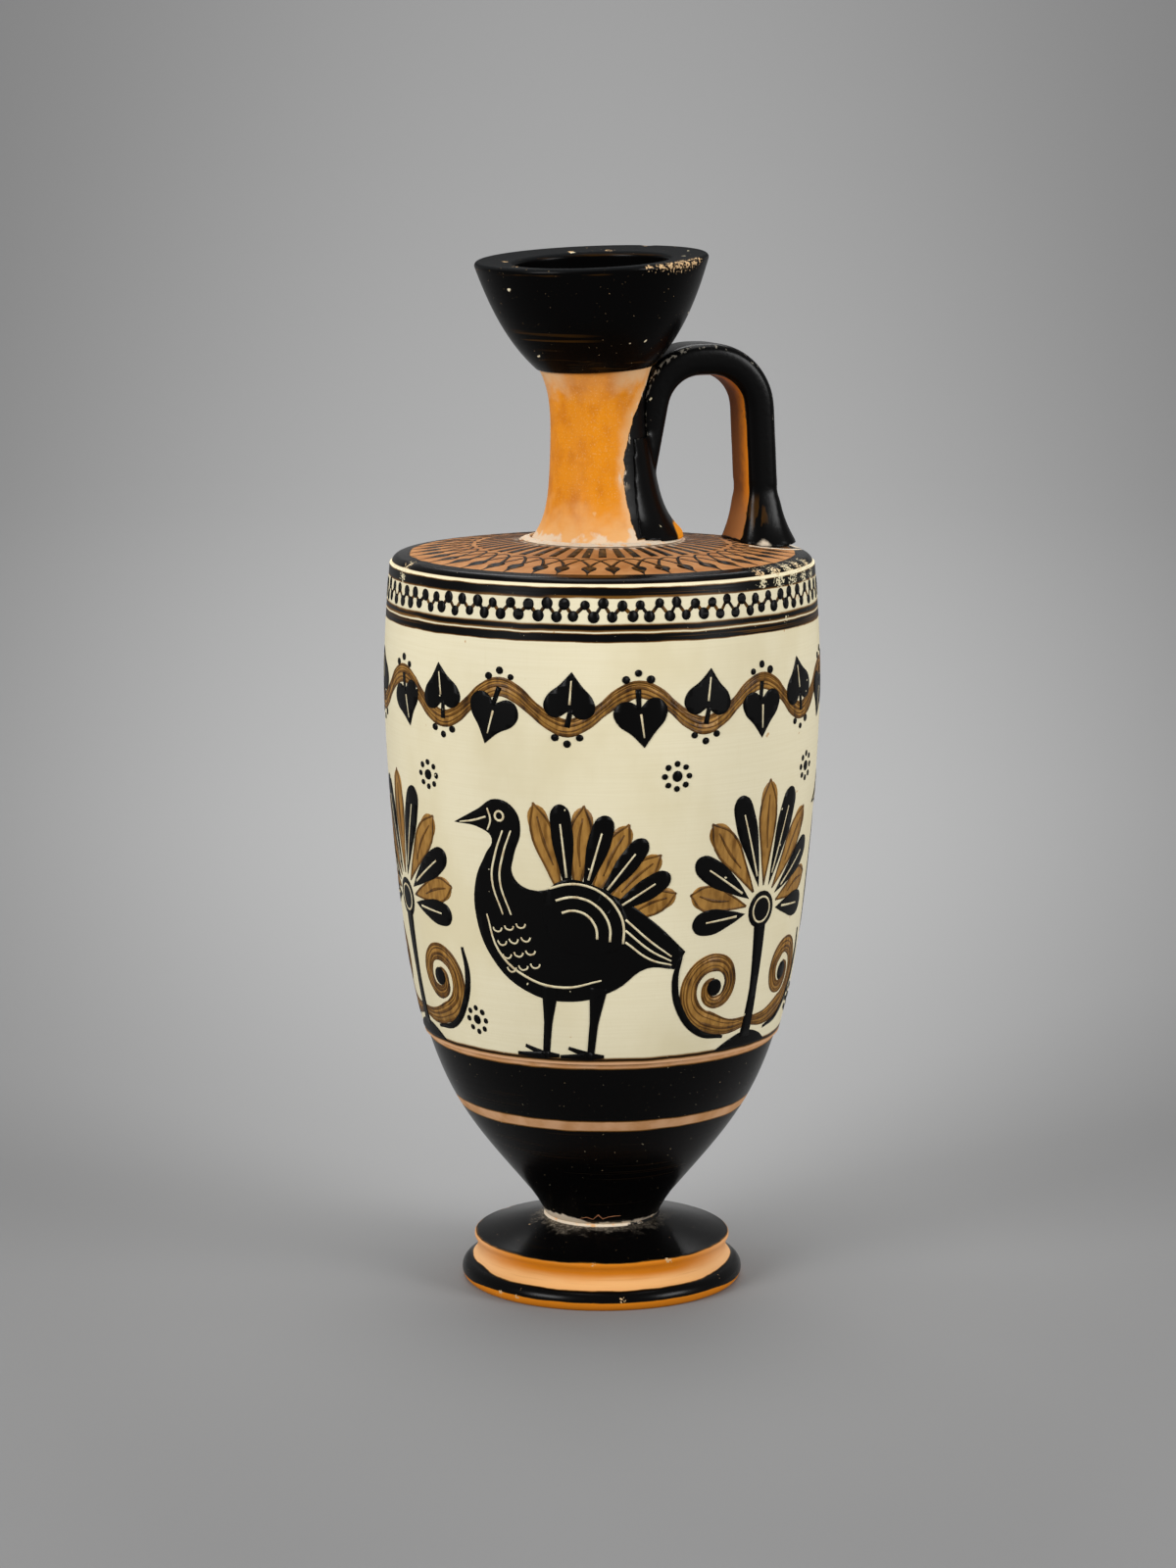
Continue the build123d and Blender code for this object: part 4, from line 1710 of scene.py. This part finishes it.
# %% [markdown]
# ## Studio
# The jar stands on a pale floor that rises behind it in one sweep, so that no edge shows. A plane and a
# wall would meet in a line, so the floor's far edge is extruded upward and the corner gets a wide bevel.
# The paper is painted lightest behind the jar and darker away from it, as a painted pool of light, and far
# from it the eye sees one even grey.

# %% Floor and backdrop
camera_turn = math.radians(-20)
right = Vector((math.cos(camera_turn), math.sin(camera_turn), 0))
away = Vector((-math.sin(camera_turn), math.cos(camera_turn), 0))
up = Vector((0, 0, 1))
floor_half = 3.0
sweep_radius = 1.8
sweep_steps = 24

bpy.ops.object.select_all(action="DESELECT")
bpy.ops.mesh.primitive_plane_add(size=2 * floor_half, rotation=(0, 0, camera_turn))
floor = bpy.context.object
floor.name = "floor"
bpy.ops.object.transform_apply(rotation=True)
edit(floor)
select_points(floor, lambda point: point.co.dot(away) > 0.5 * floor_half)
bpy.ops.mesh.extrude_region_move(TRANSFORM_OT_translate={"value": up * 2 * floor_half})
select_points(floor, lambda point: point.co.dot(away) > 0.5 * floor_half and point.co.z < sweep_radius)
bpy.ops.mesh.bevel(offset=sweep_radius, segments=sweep_steps, affect="EDGES")
bpy.ops.object.mode_set(mode="OBJECT")
bpy.ops.object.shade_smooth()
print("floor:", len(floor.data.polygons), "faces")

# %% Paper
# painted light and painted shade: the two ends of the paper's gradient
paper_painted_light = (0.37, 0.37, 0.37, 1)
paper_painted_shade = (0.19, 0.19, 0.19, 1)
painted_light_place = 0.5
paper_near_width = 0.7
paper_least_width = 0.2
paper_side_share = 13.0
paper_front_share = 3.4
paper_reach = (0.5, 2.6)
paper_far = (3.1, 4.6)
far_grey = (0.27, 0.27, 0.27, 1)


def seen_by_eye(tree):
    """1 for rays from the camera, straight or by way of gloss or glass, and 0 for the light of the room."""
    seen = 0.0
    for ray in ("Is Camera Ray", "Is Glossy Ray", "Is Transmission Ray"):
        seen = most(seen, add(tree, "LightPath", ray))
    return seen


def make_paper():
    """Matt grey studio paper with a painted pool of light, lightest behind the jar, that reads as one even
    grey far from it.
    """
    material, shader, spot = start_finish("studio_paper", roughness=0.9, shine=0.1)
    tree = spot.tree
    behind = dot(spot, away)
    across = dot(spot, right * paper_side_share) / most(behind + paper_near_width, paper_least_width)
    behind = behind - painted_light_place
    behind = most(behind, behind * -paper_front_share)
    off = span(add(tree, "CombineXYZ", inputs={0: across, 1: behind}))
    # painted light: the paper goes from light behind the jar to darker away from it, a pool of light that
    # widens toward the back
    dress(shader, blend(level(off, *paper_reach), paper_painted_light, paper_painted_shade))
    far = level(off, *paper_far) * seen_by_eye(tree)
    even_grey = add(tree, "Emission", inputs={"Color": far_grey})
    lit = Value(tree, shader.outputs[0])
    surface = add(tree, "MixShader", inputs={0: far, 1: lit, 2: even_grey})
    wire(surface, tree.nodes["Material Output"].inputs["Surface"])
    return material


floor.data.materials.append(make_paper())

# %% [markdown]
# ## Light
# Two soft boxes and soft light from above do what a product photographer would: they keep the black
# deep and the cream even. The room itself gives a little grey light, and the eye sees it as the same
# grey as the paper's far end.

# %% Soft boxes
jar_middle = Vector((0, 0, 0.085))
top_aim = away * 0.2
back_aim = away * 1.8


def soft_box(name, place, aim, size, power):
    """A square soft light that points at a place."""
    bpy.ops.object.light_add(type="AREA", location=place)
    lamp = bpy.context.object
    lamp.name = name
    lamp.data.shape = "SQUARE"
    lamp.data.size = size
    lamp.data.energy = power
    lamp.rotation_euler = (aim - place).to_track_quat("-Z", "Y").to_euler()
    print(name, "gives", power, "W")


soft_box("left_box", -right * 0.85 - away * 0.75 + up * 0.55, jar_middle, size=0.5, power=12.0)
soft_box("right_box", right * 1.0 - away * 0.55 + up * 0.45, jar_middle, size=0.45, power=9.5)
soft_box("top_box", up * 1.5 + top_aim, top_aim, size=1.0, power=16.0)
soft_box("back_box", back_aim + up * 1.7, back_aim, size=1.4, power=26.0)

# %% The room
room_grey = (0.13, 0.13, 0.13, 1)
world = bpy.data.worlds.new("studio_world")
bpy.context.scene.world = world
world.use_nodes = True
sky = world.node_tree
room = sky.nodes["Background"]
wire(room_grey, room.inputs["Color"])
seen_sky = add(sky, "Background", inputs={"Color": far_grey})
room_light = Value(sky, room.outputs[0])
either = add(sky, "MixShader", inputs={0: seen_by_eye(sky), 1: room_light, 2: seen_sky})
wire(either, sky.nodes["World Output"].inputs["Surface"])
print("the room's light:", room_grey[0])

# %% [markdown]
# ## Camera
# The camera stands where the photo was taken from: a little above the cup, looking slightly down. Its
# place and lens were fitted to the level rings of the jar, which show as ellipses.

# %% Set the camera
camera_distance = 0.700
camera_side = -0.00231
camera_height = 0.203
camera_tilt = math.radians(9.70)
camera_lens = 98.76
camera_sensor = 36.0
bpy.ops.object.camera_add(location=-away * camera_distance + right * camera_side + up * camera_height)
camera = bpy.context.object
camera.rotation_euler = (math.pi / 2 - camera_tilt, 0, camera_turn)
camera.data.lens = camera_lens
camera.data.sensor_width = camera_sensor
bpy.context.scene.camera = camera
bpy.context.scene.view_settings.view_transform = "Standard"
print("the camera stands", camera_distance, "m away")
